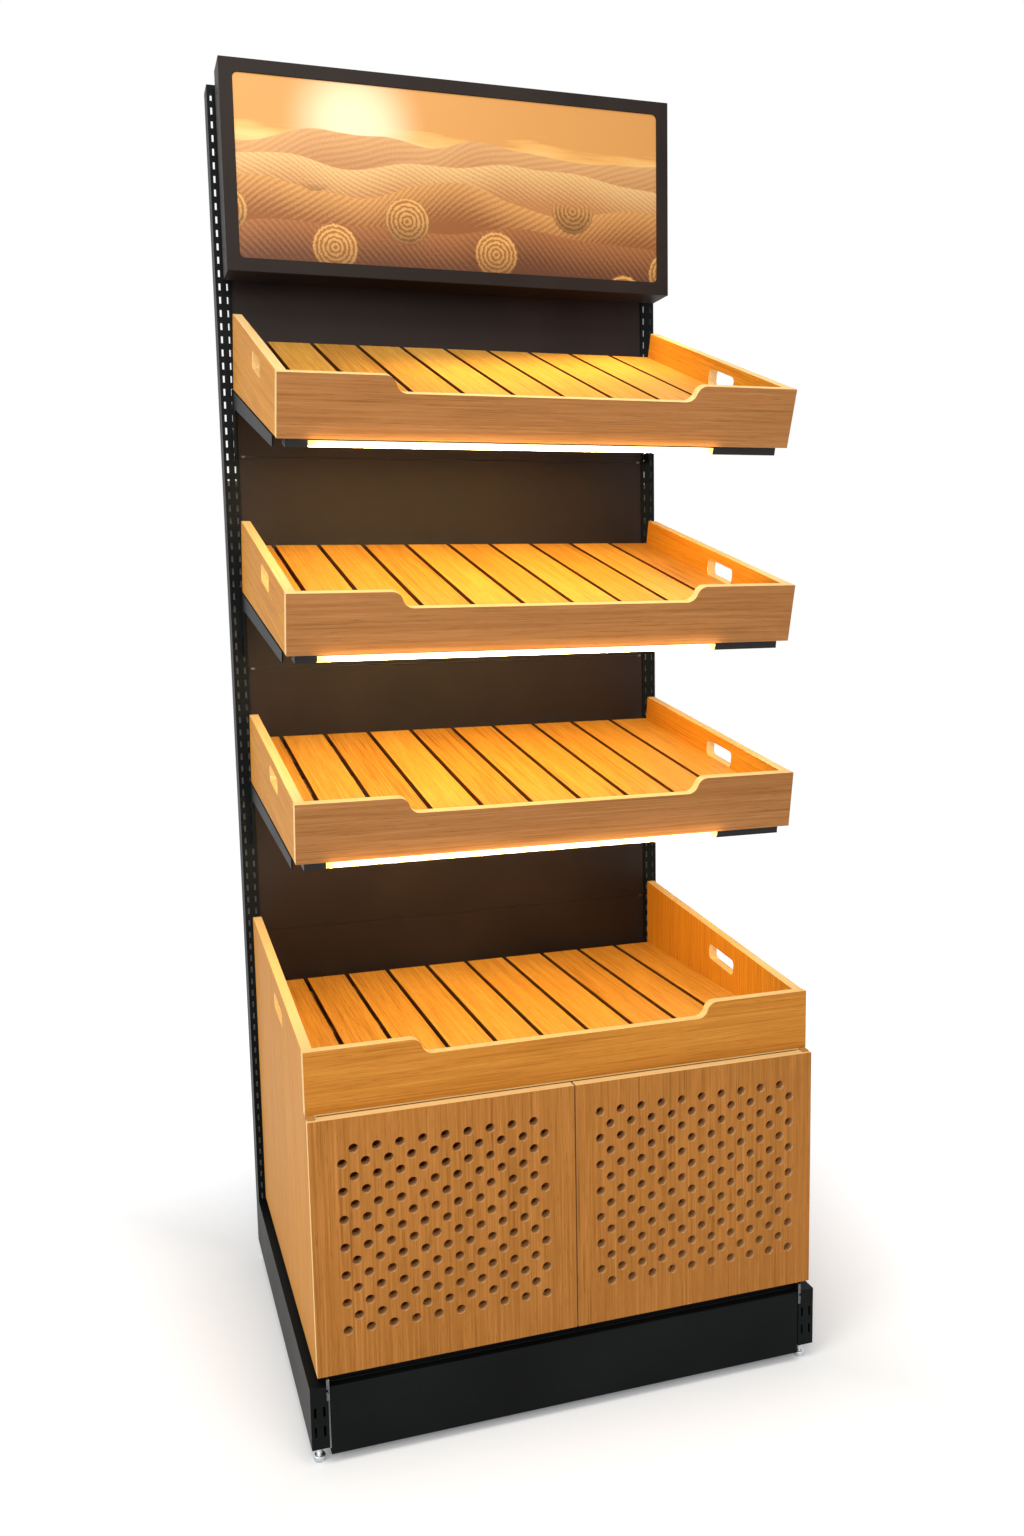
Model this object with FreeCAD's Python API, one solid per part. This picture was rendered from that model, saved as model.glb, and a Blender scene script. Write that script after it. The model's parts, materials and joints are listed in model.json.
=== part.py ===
"""Bakery display shelf: slotted uprights, oak trays on lit brackets, a light box and a base cabinet."""
import math
import os

import FreeCAD
import Part

Vector = FreeCAD.Vector

# Frame: X across the bay, +Y to the back, +Z up. The origin is on the floor, mid-footprint.

# Bay and uprights
BAY = 900.0
UPRIGHT_WIDTH = 30.0
UPRIGHT_DEPTH = 50.0
UPRIGHT_TOP = 2400.0
SHEET = 2.0
FOOT_RISE = 32.0
SLOT_PITCH = 25.0
SLOT_HEIGHT = 13.0
SLOT_WIDTH = 3.8
SLOT_SPACING = 15.0
SLOT_MARGIN = 14.0
BEAM_HEIGHT = 60.0
BEAM_DEPTH = 25.0
BEAM_MARGIN = 40.0

# Back panels
PANEL_SET_BACK = 3.0
PANEL_DEPTH = 18.0
PANEL_SHEET = 1.5
PANEL_SEAM = 0.8
PANEL_SEAM_SHARES = (0.076, 0.264, 0.508, 0.696, 0.884)
CLIP_LENGTH = 7.0
CLIP_HEIGHT = 4.0
CLIP_DEPTH = 3.0
CLIP_INSET = 5.0

# Base frame and feet
LEG_HEIGHT = 108.0
LEG_SETBACK = 6.0
LEG_SLOT_HEIGHT = 18.0
LEG_SLOT_RISE = 22.0
LEG_SLOT_PITCH = 34.0
KICK_BOTTOM = 18.0
KICK_HEIGHT = 120.0
KICK_SHEET = 2.0
KICK_FLANGE = 16.0
KICK_END_GAP = 2.3
KICK_HOOK_SHEET = 2.0
KICK_HOOK_WIDTH = 3.0
KICK_HOOK_DROP = 24.0
KICK_HOOK_RISE = 14.0
KICK_HOOK_NOTCH = 5.0
KICK_HOOK_LAP = 12.0
BASE_DECK_HEIGHT = 18.0
BASE_DECK_SHEET = 2.0
BASE_DECK_INSET = 17.0
BASE_DECK_SETBACK = 17.0
FOOT_HEAD_RADIUS = 10.0
FOOT_HEAD_HEIGHT = 10.0
FOOT_HEAD_ROUND = 2.5
FOOT_STUD_RADIUS = 5.0
FOOT_STUD_LENGTH = 58.0
FOOT_SETBACK = 22.0
NUT_WIDTH = 17.0
NUT_HEIGHT = 8.0
NUT_SIDE_COUNT = 6

# Clearances
SEAT = 0.3
FIT = 0.4
OVERRUN = 4.0

# Light box
LIGHTBOX_OVERHANG = 2.0
LIGHTBOX_HEIGHT = 380.0
LIGHTBOX_DEPTH = 75.0
LIGHTBOX_BOTTOM = 2034.0
LIGHTBOX_GAP = 30.0
LIGHTBOX_SHEET = 2.0
LIGHTBOX_BORDER = 25.0
LIGHTBOX_CORNER = 10.0
BEZEL_DEPTH = 8.0
PICTURE_THICKNESS = 4.0
PICTURE_LAP = 8.0
LAMP_WIDTH = 24.0
LAMP_DEPTH = 8.0
LAMP_END_GAP = 20.0
LAMP_COUNT = 5
DRIVER_LENGTH = 150.0
DRIVER_HEIGHT = 40.0
DRIVER_DEPTH = 28.0

# Trays: height of the front top edge and tilt of each, from the top tray down
TRAY_1_HEIGHT = 1758.0
TRAY_2_HEIGHT = 1426.0
TRAY_3_HEIGHT = 1096.0
TRAY_1_TILT = 19.5
TRAY_2_TILT = 14.0
TRAY_3_TILT = 9.0
TRAY_SIDE_GAP = 7.0
TRAY_DEPTH = 610.0
TRAY_BACK_GAP = 40.0
TRAY_FRONT_HEIGHT = 100.0
TRAY_TAPER = 42.0
BOARD = 18.0
SLAT_DROP = 48.0
SLAT_THICKNESS = 12.0
SLAT_GAP = 8.0
SLAT_PITCH = 90.0
SLAT_OFFSET = -21.0
SLAT_LEAST = 20.0
BATTEN_WIDTH = 40.0
BATTEN_HEIGHT = 18.0
BATTEN_SHARES = (0.16, 0.52, 0.88)
RUNNER_WIDTH = 18.0
RUNNER_DROP = 2.0
RUNNER_START = 70.0
RUNNER_END_GAP = 20.0
SCOOP_WIDTH = 550.0
SCOOP_RUN = 36.0
SCOOP_DEPTH = 27.0
HANDLE_LENGTH = 105.0
HANDLE_HEIGHT = 30.0
HANDLE_ROUND = 9.0
HANDLE_SETBACK = 256.0
HANDLE_DROP = 33.0

# Tray brackets
BRACKET_SHEET = 3.0
BRACKET_ROOT_HEIGHT = 132.0
BRACKET_ROOT_WIDTH = 26.0
BRACKET_REAR_DEPTH = 32.0
BRACKET_FRONT_DEPTH = 18.0
BRACKET_ROUND = 24.0
FLANGE_WIDTH = 32.0
LUG_SETBACK = 60.0
LUG_LENGTH = 10.0
LUG_HEIGHT = 14.0
HOOK_HEIGHT = 10.0
HOOK_DROP = 7.0
HOOK_LIP = 4.0
HOOK_STEP_COUNT = 2
HOOK_COUNT = 3

# Light bars under the trays
BAR_END_GAP = 15.0
BAR_DEPTH = 32.0
BAR_HEIGHT = 13.0
BAR_SETBACK = 14.0
BAR_TOP_WALL = 2.0
LIT_START = 36.0
LIT_END_GAP = 120.0
DIFFUSER_DEPTH = 13.0
DIFFUSER_ROUND = 8.0
DIFFUSER_WALL = 1.6
STRIP_HEIGHT = 6.0
STRIP_THICKNESS = 1.6

# Base cabinet with the bin on top
REACH = 706.0
CABINET_OVERHANG = 2.0
CABINET_BACK_GAP = 20.0
CABINET_BACK_THICKNESS = 6.0
BIN_FRONT_HEIGHT = 105.0
BIN_SIDE_RISE = 65.0
BIN_DECK_DROP = 75.0
BIN_HANDLE_SETBACK = 296.0
BIN_HANDLE_DROP = 48.0
BIN_SLAT_COUNT = 10
LEDGER_WIDTH = 20.0
LEDGER_HEIGHT = 24.0
DECK_END_GAP = 6.0
DOOR_THICKNESS = 18.0
DOOR_HEIGHT = 435.0
DOOR_RISE = 3.0
DOOR_BACK_GAP = 2.0
DOOR_SPLIT = 3.0
DOOR_RAIL_GAP = 3.2
HOLE_RADIUS = 8.2
HOLE_PITCH = 38.2
HOLE_ROW_PITCH = 23.8
HOLE_TOP_MARGIN = 53.0
HOLE_BOTTOM_MARGIN = 60.0
HOLE_SIDE_MARGIN = 30.0

# Door pivots and push latches
PIVOT_INSET = 5.0
PIN_RADIUS = 2.5
PIN_LENGTH = 14.0
BUSH_RADIUS = 4.5
BUSH_HEIGHT = 12.0
PLATE_THICKNESS = 2.5
PLATE_WIDTH = 12.0
PLATE_HEIGHT = 44.0
TAB_LENGTH = 14.0
LATCH_WIDTH = 76.0
LATCH_DEPTH = 46.0
LATCH_HEIGHT = 26.0
LATCH_SETBACK = 2.0
PLUNGER_RADIUS = 4.0
PLUNGER_LENGTH = 34.0
PLUNGER_OFFSET = 20.0
PLUNGER_TRAVEL = 3.0
STRIKE_SIZE = 24.0
STRIKE_THICKNESS = 1.2

# Places worked out from the sizes above
SIDE_SHARES = (("left", -1.0), ("right", 1.0))
LIGHTBOX_WIDTH = BAY + 2 * LIGHTBOX_OVERHANG
TRAY_WIDTH = BAY - 2 * TRAY_SIDE_GAP
TRAY_REACH = TRAY_DEPTH + TRAY_BACK_GAP
BAR_LENGTH = TRAY_WIDTH - 2 * BAR_END_GAP
CABINET_WIDTH = BAY + 2 * CABINET_OVERHANG
FACE = (REACH - UPRIGHT_DEPTH) / 2
LEG_REACH = REACH - LEG_SETBACK
BASE_DECK_REACH = LEG_REACH - BASE_DECK_SETBACK
LEG_TOP = FOOT_RISE + LEG_HEIGHT
CABINET_BOTTOM = LEG_TOP + BASE_DECK_HEIGHT
CARCASS_FRONT = FACE - REACH + DOOR_THICKNESS + DOOR_BACK_GAP
DOOR_BACK = CARCASS_FRONT - DOOR_BACK_GAP
DOOR_BOTTOM = CABINET_BOTTOM + DOOR_RISE
DOOR_TOP = DOOR_BOTTOM + DOOR_HEIGHT
BIN_FRONT_BOTTOM = DOOR_TOP + DOOR_RAIL_GAP
BIN_FRONT_TOP = BIN_FRONT_BOTTOM + BIN_FRONT_HEIGHT
BIN_BACK_TOP = BIN_FRONT_TOP + BIN_SIDE_RISE
BIN_DECK_TOP = BIN_FRONT_TOP - BIN_DECK_DROP
CABINET_BACK = FACE - CABINET_BACK_GAP
SLOT_FIRST = FOOT_RISE + SLOT_MARGIN
INNER_SLOT_X = (BAY - SLOT_SPACING) / 2
TAPER_ANGLE = math.degrees(math.atan2(TRAY_TAPER, TRAY_DEPTH))
TRAYS = (
    (1, TRAY_1_HEIGHT, TRAY_1_TILT),
    (2, TRAY_2_HEIGHT, TRAY_2_TILT),
    (3, TRAY_3_HEIGHT, TRAY_3_TILT),
)
X_AXIS = Vector(1, 0, 0)
Y_AXIS = Vector(0, 1, 0)
Z_AXIS = Vector(0, 0, 1)


def save(name, *solids):
    """Write one node: a single solid, or a group of separate solids."""
    shape = solids[0] if len(solids) == 1 else Part.makeCompound(list(solids))
    shape.exportStep("parts/" + name + ".step")


def block(x0, x1, y0, y1, z0, z1):
    """A box between two corners, given in any order."""
    corner = Vector(min(x0, x1), min(y0, y1), min(z0, z1))
    return Part.makeBox(abs(x1 - x0), abs(y1 - y0), abs(z1 - z0), corner)


def prism_x(points, x0, x1):
    """A straight-sided (y, z) outline carried from x0 to x1."""
    corners = [Vector(min(x0, x1), y, z) for y, z in points]
    return Part.Face(Part.makePolygon(corners + corners[:1])).extrude(X_AXIS * abs(x1 - x0))


def rounded(solid, axis, places, radius):
    """Round the edges that run along an axis through places given in the other two coordinates."""
    others = [i for i in range(3) if i != axis]

    def runs_through(edge, place):
        ends = [vertex.Point for vertex in edge.Vertexes]
        flat = all(abs(end[i] - value) < FIT / 10 for end in ends for i, value in zip(others, place))
        return flat and len(ends) == 2

    edges = [edge for edge in solid.Edges for place in places if runs_through(edge, place)]
    return solid.makeFillet(radius, edges)


def joined(*solids):
    return solids[0].multiFuse(list(solids[1:])).removeSplitter()


def tilted(solid, y, z, angle):
    """Turn a piece made at the origin about X and set it at (y, z)."""
    turn = FreeCAD.Rotation(X_AXIS, angle)
    moved = solid.copy()
    moved.Placement = FreeCAD.Placement(Vector(0, y, z), turn)
    return moved


def tilted_point(y0, z0, angle, along, up):
    """The (y, z) place of a point given along and square to a line tilted about X."""
    c, s = math.cos(math.radians(angle)), math.sin(math.radians(angle))
    return y0 + along * c - up * s, z0 + along * s + up * c


def easing_arcs(start, end):
    """Two equal arcs, level at both ends, that lead from one height to another."""
    middle = (start + end) * 0.5
    edges = []
    for level, meet in ((start, middle), (end, middle)):
        chord = meet - level
        half_turn = math.atan2(abs(chord.z), abs(chord.x)) / 2
        reach = chord.Length / (2 * math.cos(half_turn))
        on_arc = level + Vector(math.copysign(reach * math.cos(half_turn), chord.x), 0,
                                math.copysign(reach * math.sin(half_turn), chord.z))
        edges.append(Part.Arc(level, on_arc, meet).toShape())
    return edges


def scooped_board(width, bottom, top, y0):
    """A front board whose top edge dips between two shoulders."""
    half, dip_top = width / 2, SCOOP_WIDTH / 2
    dip_bottom, dip = dip_top - SCOOP_RUN, top - SCOOP_DEPTH

    def at(x, z):
        return Vector(x, y0, z)

    outline = [(-half, top), (-half, bottom), (half, bottom), (half, top)]
    corners = [at(-dip_top, top)] + [at(x, z) for x, z in outline] + [at(dip_top, top)]
    edges = [Part.makeLine(a, b) for a, b in zip(corners, corners[1:])]
    edges += easing_arcs(at(dip_top, top), at(dip_bottom, dip))
    edges.append(Part.makeLine(at(dip_bottom, dip), at(-dip_bottom, dip)))
    edges += easing_arcs(at(-dip_bottom, dip), at(-dip_top, top))
    wire = Part.Wire(Part.__sortEdges__(edges))
    return Part.Face(wire).extrude(Y_AXIS * BOARD)


def handle_cutter(along, up, x0, x1):
    """A slot with rounded corners, cut across X, centred on (along, up)."""
    y0, y1 = along - HANDLE_LENGTH / 2, along + HANDLE_LENGTH / 2
    z0, z1 = up - HANDLE_HEIGHT / 2, up + HANDLE_HEIGHT / 2
    corners = [(y, z) for y in (y0, y1) for z in (z0, z1)]
    return rounded(block(x0, x1, y0, y1, z0, z1), 0, corners, HANDLE_ROUND)


def slats(width, y0, y1, top, pitch, offset):
    """Slats with gaps at a pitch, as many as a width holds, the outer two cut to fill it."""
    reach = width / 2 - SLAT_LEAST
    x = offset - math.floor((reach + offset) / pitch) * pitch
    gaps = []
    while x < reach:
        gaps.append(x)
        x += pitch
    starts = [-width / 2] + [x + SLAT_GAP / 2 for x in gaps]
    ends = [x - SLAT_GAP / 2 for x in gaps] + [width / 2]
    return [block(x0, x1, y0, y1, top - SLAT_THICKNESS, top) for x0, x1 in zip(starts, ends)]


def slot_bottom_below(height):
    """The lower end of the highest upright slot whose upper end is at or under a height."""
    step = math.floor((height - SLOT_HEIGHT - SLOT_FIRST) / SLOT_PITCH)
    return SLOT_FIRST + step * SLOT_PITCH


def slot_hook(x, bottom):
    """A hook through an upright slot, seated on the slot's lower end."""
    x0, x1 = x - BRACKET_SHEET / 2, x + BRACKET_SHEET / 2
    back = FACE + SHEET + SEAT
    neck = block(x0, x1, FACE - SHEET, back + HOOK_LIP, bottom, bottom + HOOK_HEIGHT)
    lip = block(x0, x1, back, back + HOOK_LIP, bottom - HOOK_DROP, bottom + HOOK_HEIGHT)
    return joined(neck, lip)


def upright(side):
    """A channel post, open to the back, with end plates and two columns of slots in its front wall."""
    middle = side * BAY / 2
    x0, x1 = middle - UPRIGHT_WIDTH / 2, middle + UPRIGHT_WIDTH / 2
    post = block(x0, x1, FACE, FACE + UPRIGHT_DEPTH, FOOT_RISE, UPRIGHT_TOP)
    hollow = block(x0 + SHEET, x1 - SHEET, FACE + SHEET, FACE + UPRIGHT_DEPTH + OVERRUN,
                   FOOT_RISE + SHEET, UPRIGHT_TOP - SHEET)
    cuts = []
    z = SLOT_FIRST
    while z + SLOT_HEIGHT + SLOT_MARGIN <= UPRIGHT_TOP:
        for column in (-1, 1):
            x = middle + column * SLOT_SPACING / 2
            cuts.append(block(x - SLOT_WIDTH / 2, x + SLOT_WIDTH / 2,
                              FACE - OVERRUN, FACE + SHEET + SHEET / 2, z, z + SLOT_HEIGHT))
        z += SLOT_PITCH
    stud = Part.makeCylinder(FOOT_STUD_RADIUS + FIT, SHEET + 2 * OVERRUN,
                             Vector(middle, FACE + UPRIGHT_DEPTH / 2, FOOT_RISE - OVERRUN), Z_AXIS)
    return post.cut(hollow).cut(Part.makeCompound(cuts)).cut(stud)


def rear_beams():
    """Two box beams that tie the uprights together behind the panels."""
    half = (BAY - UPRIGHT_WIDTH) / 2
    y1 = FACE + UPRIGHT_DEPTH
    y0 = y1 - BEAM_DEPTH
    beams = []
    for z0 in (FOOT_RISE + BEAM_MARGIN, UPRIGHT_TOP - BEAM_MARGIN - BEAM_HEIGHT):
        outer = block(-half, half, y0, y1, z0, z0 + BEAM_HEIGHT)
        inner = block(-half - OVERRUN, half + OVERRUN, y0 + SHEET, y1 - SHEET,
                      z0 + SHEET, z0 + BEAM_HEIGHT - SHEET)
        beams.append(outer.cut(inner))
    return beams


def panel_edges():
    """Heights of the panel stack's lower end, its seams and its upper end."""
    low, high = LEG_TOP, UPRIGHT_TOP - SLOT_MARGIN
    return [low] + [low + share * (high - low) for share in PANEL_SEAM_SHARES] + [high]


def back_panels():
    """Pan-folded steel panels stacked between the uprights, open to the back."""
    half = (BAY - UPRIGHT_WIDTH) / 2
    y0 = FACE + PANEL_SET_BACK
    y1 = y0 + PANEL_DEPTH
    heights = panel_edges()
    panels = []
    for low, high in zip(heights, heights[1:]):
        z0, z1 = low + PANEL_SEAM / 2, high - PANEL_SEAM / 2
        pan = block(-half, half, y0, y1, z0, z1)
        inside = block(PANEL_SHEET - half, half - PANEL_SHEET, y0 + PANEL_SHEET, y1 + OVERRUN,
                       z0 + PANEL_SHEET, z1 - PANEL_SHEET)
        panels.append(pan.cut(inside))
    return panels


def panel_clips():
    """Zinc retaining clips at both ends of every panel seam."""
    y1 = FACE + PANEL_SET_BACK
    half = (BAY - UPRIGHT_WIDTH) / 2 - CLIP_INSET
    clips = []
    for z in panel_edges()[1:-1]:
        for _, side in SIDE_SHARES:
            clip = block(side * half, side * (half - CLIP_LENGTH), y1 - CLIP_DEPTH, y1,
                         z - CLIP_HEIGHT / 2, z + CLIP_HEIGHT / 2)
            clips.append(clip)
    return clips


def foot_places():
    """Plan positions of the four levelling feet."""
    front, rear = FACE - LEG_REACH + FOOT_SETBACK, FACE + UPRIGHT_DEPTH / 2
    return [(depth + "_" + name, side * BAY / 2, y)
            for depth, y in (("front", front), ("rear", rear)) for name, side in SIDE_SHARES]


def base_leg(side):
    """A closed box leg from the upright to the front, with slots in its front end for the kick plate."""
    middle = side * BAY / 2
    x0, x1 = middle - UPRIGHT_WIDTH / 2, middle + UPRIGHT_WIDTH / 2
    front = FACE - LEG_REACH
    leg = block(x0, x1, front, FACE, FOOT_RISE, LEG_TOP)
    hollow = block(x0 + SHEET, x1 - SHEET, front + SHEET, FACE - SHEET, FOOT_RISE + SHEET, LEG_TOP - SHEET)
    cuts = []
    for column in (-1, 1):
        x = middle + column * SLOT_SPACING / 2
        for row in (0, 1):
            z = FOOT_RISE + LEG_SLOT_RISE + row * LEG_SLOT_PITCH
            cuts.append(block(x - SLOT_WIDTH / 2, x + SLOT_WIDTH / 2,
                              front - OVERRUN, front + SHEET + SHEET / 2, z, z + LEG_SLOT_HEIGHT))
    cuts.append(Part.makeCylinder(FOOT_STUD_RADIUS + FIT, SHEET + 2 * OVERRUN,
                                  Vector(middle, front + FOOT_SETBACK, FOOT_RISE - OVERRUN), Z_AXIS))
    return leg.cut(hollow).cut(Part.makeCompound(cuts))


def base_deck():
    """A shallow steel pan across the legs that the cabinet stands on."""
    half = (BAY + UPRIGHT_WIDTH) / 2 - BASE_DECK_INSET
    y0, y1 = FACE - BASE_DECK_REACH, FACE - SEAT
    pan = block(-half, half, y0, y1, LEG_TOP, CABINET_BOTTOM)
    under = block(BASE_DECK_SHEET - half, half - BASE_DECK_SHEET,
                  y0 + BASE_DECK_SHEET, y1 - BASE_DECK_SHEET,
                  LEG_TOP - OVERRUN, CABINET_BOTTOM - BASE_DECK_SHEET)
    return pan.cut(under)


def kick_plate():
    """A folded plate between the legs' front ends, with returned top and bottom edges."""
    half = (BAY - UPRIGHT_WIDTH) / 2 - KICK_END_GAP
    y0 = FACE - LEG_REACH
    top = KICK_BOTTOM + KICK_HEIGHT
    plate = block(-half, half, y0, y0 + KICK_FLANGE, KICK_BOTTOM, top)
    inside = block(-half - OVERRUN, half + OVERRUN, y0 + KICK_SHEET, y0 + KICK_FLANGE + OVERRUN,
                   KICK_BOTTOM + KICK_SHEET, top - KICK_SHEET)
    plate = plate.cut(inside)
    return rounded(plate, 0, [(y0, top), (y0, KICK_BOTTOM)], KICK_SHEET)


def kick_hooks():
    """Zinc straps round the legs' inner front edges, with a lap behind each end of the kick plate."""
    inner = (BAY - UPRIGHT_WIDTH) / 2
    front = FACE - LEG_REACH
    outside = front - KICK_HOOK_SHEET
    behind = front + KICK_SHEET
    top = KICK_BOTTOM + KICK_HEIGHT - KICK_SHEET
    low, high = LEG_TOP - KICK_HOOK_DROP, LEG_TOP + KICK_HOOK_RISE
    hooks = []
    for _, side in SIDE_SHARES:
        web_x = side * (inner - KICK_HOOK_SHEET)
        web = block(side * inner, web_x, outside, behind + KICK_HOOK_LAP, low, high)
        strap = block(web_x, side * (inner + KICK_HOOK_WIDTH), outside, front, low, high)
        notch = block(side * inner, side * (inner + KICK_HOOK_WIDTH), outside, front,
                      top - KICK_HOOK_NOTCH, top)
        lap = block(web_x, side * (inner - KICK_HOOK_LAP), behind, behind + KICK_HOOK_SHEET, low, top)
        hooks.append(joined(web, strap.cut(notch), lap))
    return hooks


def levelling_foot(x, y):
    """A round-headed levelling screw that stands on the floor."""
    head = Part.makeCylinder(FOOT_HEAD_RADIUS, FOOT_HEAD_HEIGHT, Vector(x, y, 0), Z_AXIS)
    upper_edges = [edge for edge in head.Edges if edge.BoundBox.ZMin > FOOT_HEAD_HEIGHT / 2]
    head = head.makeFillet(FOOT_HEAD_ROUND, upper_edges)
    stud = Part.makeCylinder(FOOT_STUD_RADIUS, FOOT_STUD_LENGTH, Vector(x, y, FOOT_HEAD_HEIGHT / 2), Z_AXIS)
    return joined(head, stud)


def foot_nut(x, y):
    """A hexagon nut welded over the screw's hole, inside the leg or upright."""
    radius = NUT_WIDTH / 2 / math.cos(math.pi / NUT_SIDE_COUNT)
    z = FOOT_RISE + SHEET
    turns = [2 * math.pi * i / NUT_SIDE_COUNT for i in range(NUT_SIDE_COUNT)]
    corners = [Vector(x + radius * math.cos(turn), y + radius * math.sin(turn), z) for turn in turns]
    nut = Part.Face(Part.makePolygon(corners + corners[:1])).extrude(Z_AXIS * NUT_HEIGHT)
    bore = Part.makeCylinder(FOOT_STUD_RADIUS + FIT, NUT_HEIGHT + 2 * OVERRUN,
                             Vector(x, y, z - OVERRUN), Z_AXIS)
    return nut.cut(bore)


def window_outline(width, height, middle, y, radius):
    """A rectangle with rounded corners, standing in the XZ plane."""
    plate = block(-width / 2, width / 2, y, y + BEZEL_DEPTH, middle - height / 2, middle + height / 2)
    places = [(x * width / 2, middle + z * height / 2) for x in (-1, 1) for z in (-1, 1)]
    return rounded(plate, 1, places, radius)


def light_box():
    """The header light box: shell, bezel, lit picture panel, lamps, driver and hook plates."""
    half = LIGHTBOX_WIDTH / 2
    z0, z1 = LIGHTBOX_BOTTOM, LIGHTBOX_BOTTOM + LIGHTBOX_HEIGHT
    middle = (z0 + z1) / 2
    back = FACE - LIGHTBOX_GAP
    front = back - LIGHTBOX_DEPTH
    bezel_back = front + BEZEL_DEPTH
    shell = block(-half, half, bezel_back, back, z0, z1)
    hollow = block(LIGHTBOX_SHEET - half, half - LIGHTBOX_SHEET,
                   bezel_back - OVERRUN, back - LIGHTBOX_SHEET,
                   z0 + LIGHTBOX_SHEET, z1 - LIGHTBOX_SHEET)
    save("lightbox_housing", shell.cut(hollow))

    bezel = block(-half, half, front, bezel_back, z0, z1)
    window_width = LIGHTBOX_WIDTH - 2 * LIGHTBOX_BORDER
    window_height = LIGHTBOX_HEIGHT - 2 * LIGHTBOX_BORDER
    opening = window_outline(window_width, window_height, middle, front, LIGHTBOX_CORNER)
    rebate_half = window_width / 2 + PICTURE_LAP
    rebate_rise = window_height / 2 + PICTURE_LAP
    rebate = block(-rebate_half, rebate_half, bezel_back - PICTURE_THICKNESS, bezel_back + OVERRUN,
                   middle - rebate_rise, middle + rebate_rise)
    save("lightbox_bezel", bezel.cut(opening).cut(rebate))
    picture = block(SEAT - rebate_half, rebate_half - SEAT, bezel_back - PICTURE_THICKNESS, bezel_back,
                    SEAT + middle - rebate_rise, middle + rebate_rise - SEAT)
    save("lightbox_picture", picture)

    lamp_back = back - LIGHTBOX_SHEET
    lamp_z0, lamp_z1 = z0 + LIGHTBOX_SHEET + LAMP_END_GAP, z1 - LIGHTBOX_SHEET - LAMP_END_GAP
    lamp_pitch = LIGHTBOX_WIDTH / (LAMP_COUNT + 1)
    lamps = [block(x - LAMP_WIDTH / 2, x + LAMP_WIDTH / 2, lamp_back - LAMP_DEPTH, lamp_back,
                   lamp_z0, lamp_z1)
             for x in [(i + 1) * lamp_pitch - half for i in range(LAMP_COUNT)]]
    save("lightbox_lamps", *lamps)
    driver_x = half - lamp_pitch + LAMP_WIDTH - lamp_pitch / 2
    driver = block(driver_x - DRIVER_HEIGHT / 2, driver_x + DRIVER_HEIGHT / 2,
                   lamp_back - DRIVER_DEPTH, lamp_back,
                   middle - DRIVER_LENGTH / 2, middle + DRIVER_LENGTH / 2)
    save("lightbox_driver", driver)

    hooks = []
    for _, side in SIDE_SHARES:
        x = side * INNER_SLOT_X
        upper = slot_bottom_below(min(z1, UPRIGHT_TOP) - SLOT_MARGIN)
        lower = slot_bottom_below(z0 + LIGHTBOX_HEIGHT / 2)
        plate = block(x - BRACKET_SHEET / 2, x + BRACKET_SHEET / 2, back, FACE,
                      lower - HOOK_HEIGHT, upper + SLOT_HEIGHT)
        hooks.append(joined(plate, slot_hook(x, upper), slot_hook(x, lower)))
    save("lightbox_hooks", *hooks)


def tray_bottom(along):
    """Height of the sides' lower edge in the tray's own frame, from the top edge down."""
    return -TRAY_FRONT_HEIGHT - TRAY_TAPER * along / TRAY_DEPTH


def tray(number, height, tilt):
    """One slatted tray: sides, scooped front, slats, and the runners and battens under them."""
    half, inner = TRAY_WIDTH / 2, TRAY_WIDTH / 2 - BOARD
    front_y = FACE - TRAY_REACH

    def placed(solids):
        return [tilted(solid, front_y, height, tilt) for solid in solids]

    side_outline = [(BOARD, 0), (BOARD, tray_bottom(BOARD)),
                    (TRAY_DEPTH, tray_bottom(TRAY_DEPTH)), (TRAY_DEPTH, 0)]
    side_boards = []
    for _, side in SIDE_SHARES:
        board = prism_x(side_outline, side * half, side * inner)
        cutter = handle_cutter(HANDLE_SETBACK, -HANDLE_DROP, min(side * half, side * inner) - OVERRUN,
                               max(side * half, side * inner) + OVERRUN)
        side_boards.append(board.cut(cutter))
    save("tray_%d_sides" % number, *placed(side_boards))
    save("tray_%d_front" % number, *placed([scooped_board(TRAY_WIDTH, -TRAY_FRONT_HEIGHT, 0, 0)]))
    deck = slats(2 * inner, BOARD, TRAY_DEPTH, -SLAT_DROP, SLAT_PITCH, SLAT_OFFSET)
    save("tray_%d_slats" % number, *placed(deck))

    under = -SLAT_DROP - SLAT_THICKNESS
    drop = RUNNER_DROP / math.cos(math.radians(TAPER_ANGLE))
    end = TRAY_DEPTH - RUNNER_END_GAP
    runner_outline = [(RUNNER_START, under), (RUNNER_START, tray_bottom(RUNNER_START) - drop),
                      (end, tray_bottom(end) - drop), (end, under)]
    runners = [prism_x(runner_outline, side * inner, side * (inner - RUNNER_WIDTH))
               for _, side in SIDE_SHARES]
    span = inner - RUNNER_WIDTH
    battens = []
    for share in BATTEN_SHARES:
        y = share * TRAY_DEPTH
        battens.append(block(-span, span, y - BATTEN_WIDTH / 2, y + BATTEN_WIDTH / 2,
                             under - BATTEN_HEIGHT, under))
    save("tray_%d_bearers" % number, *placed(runners + battens))


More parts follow.
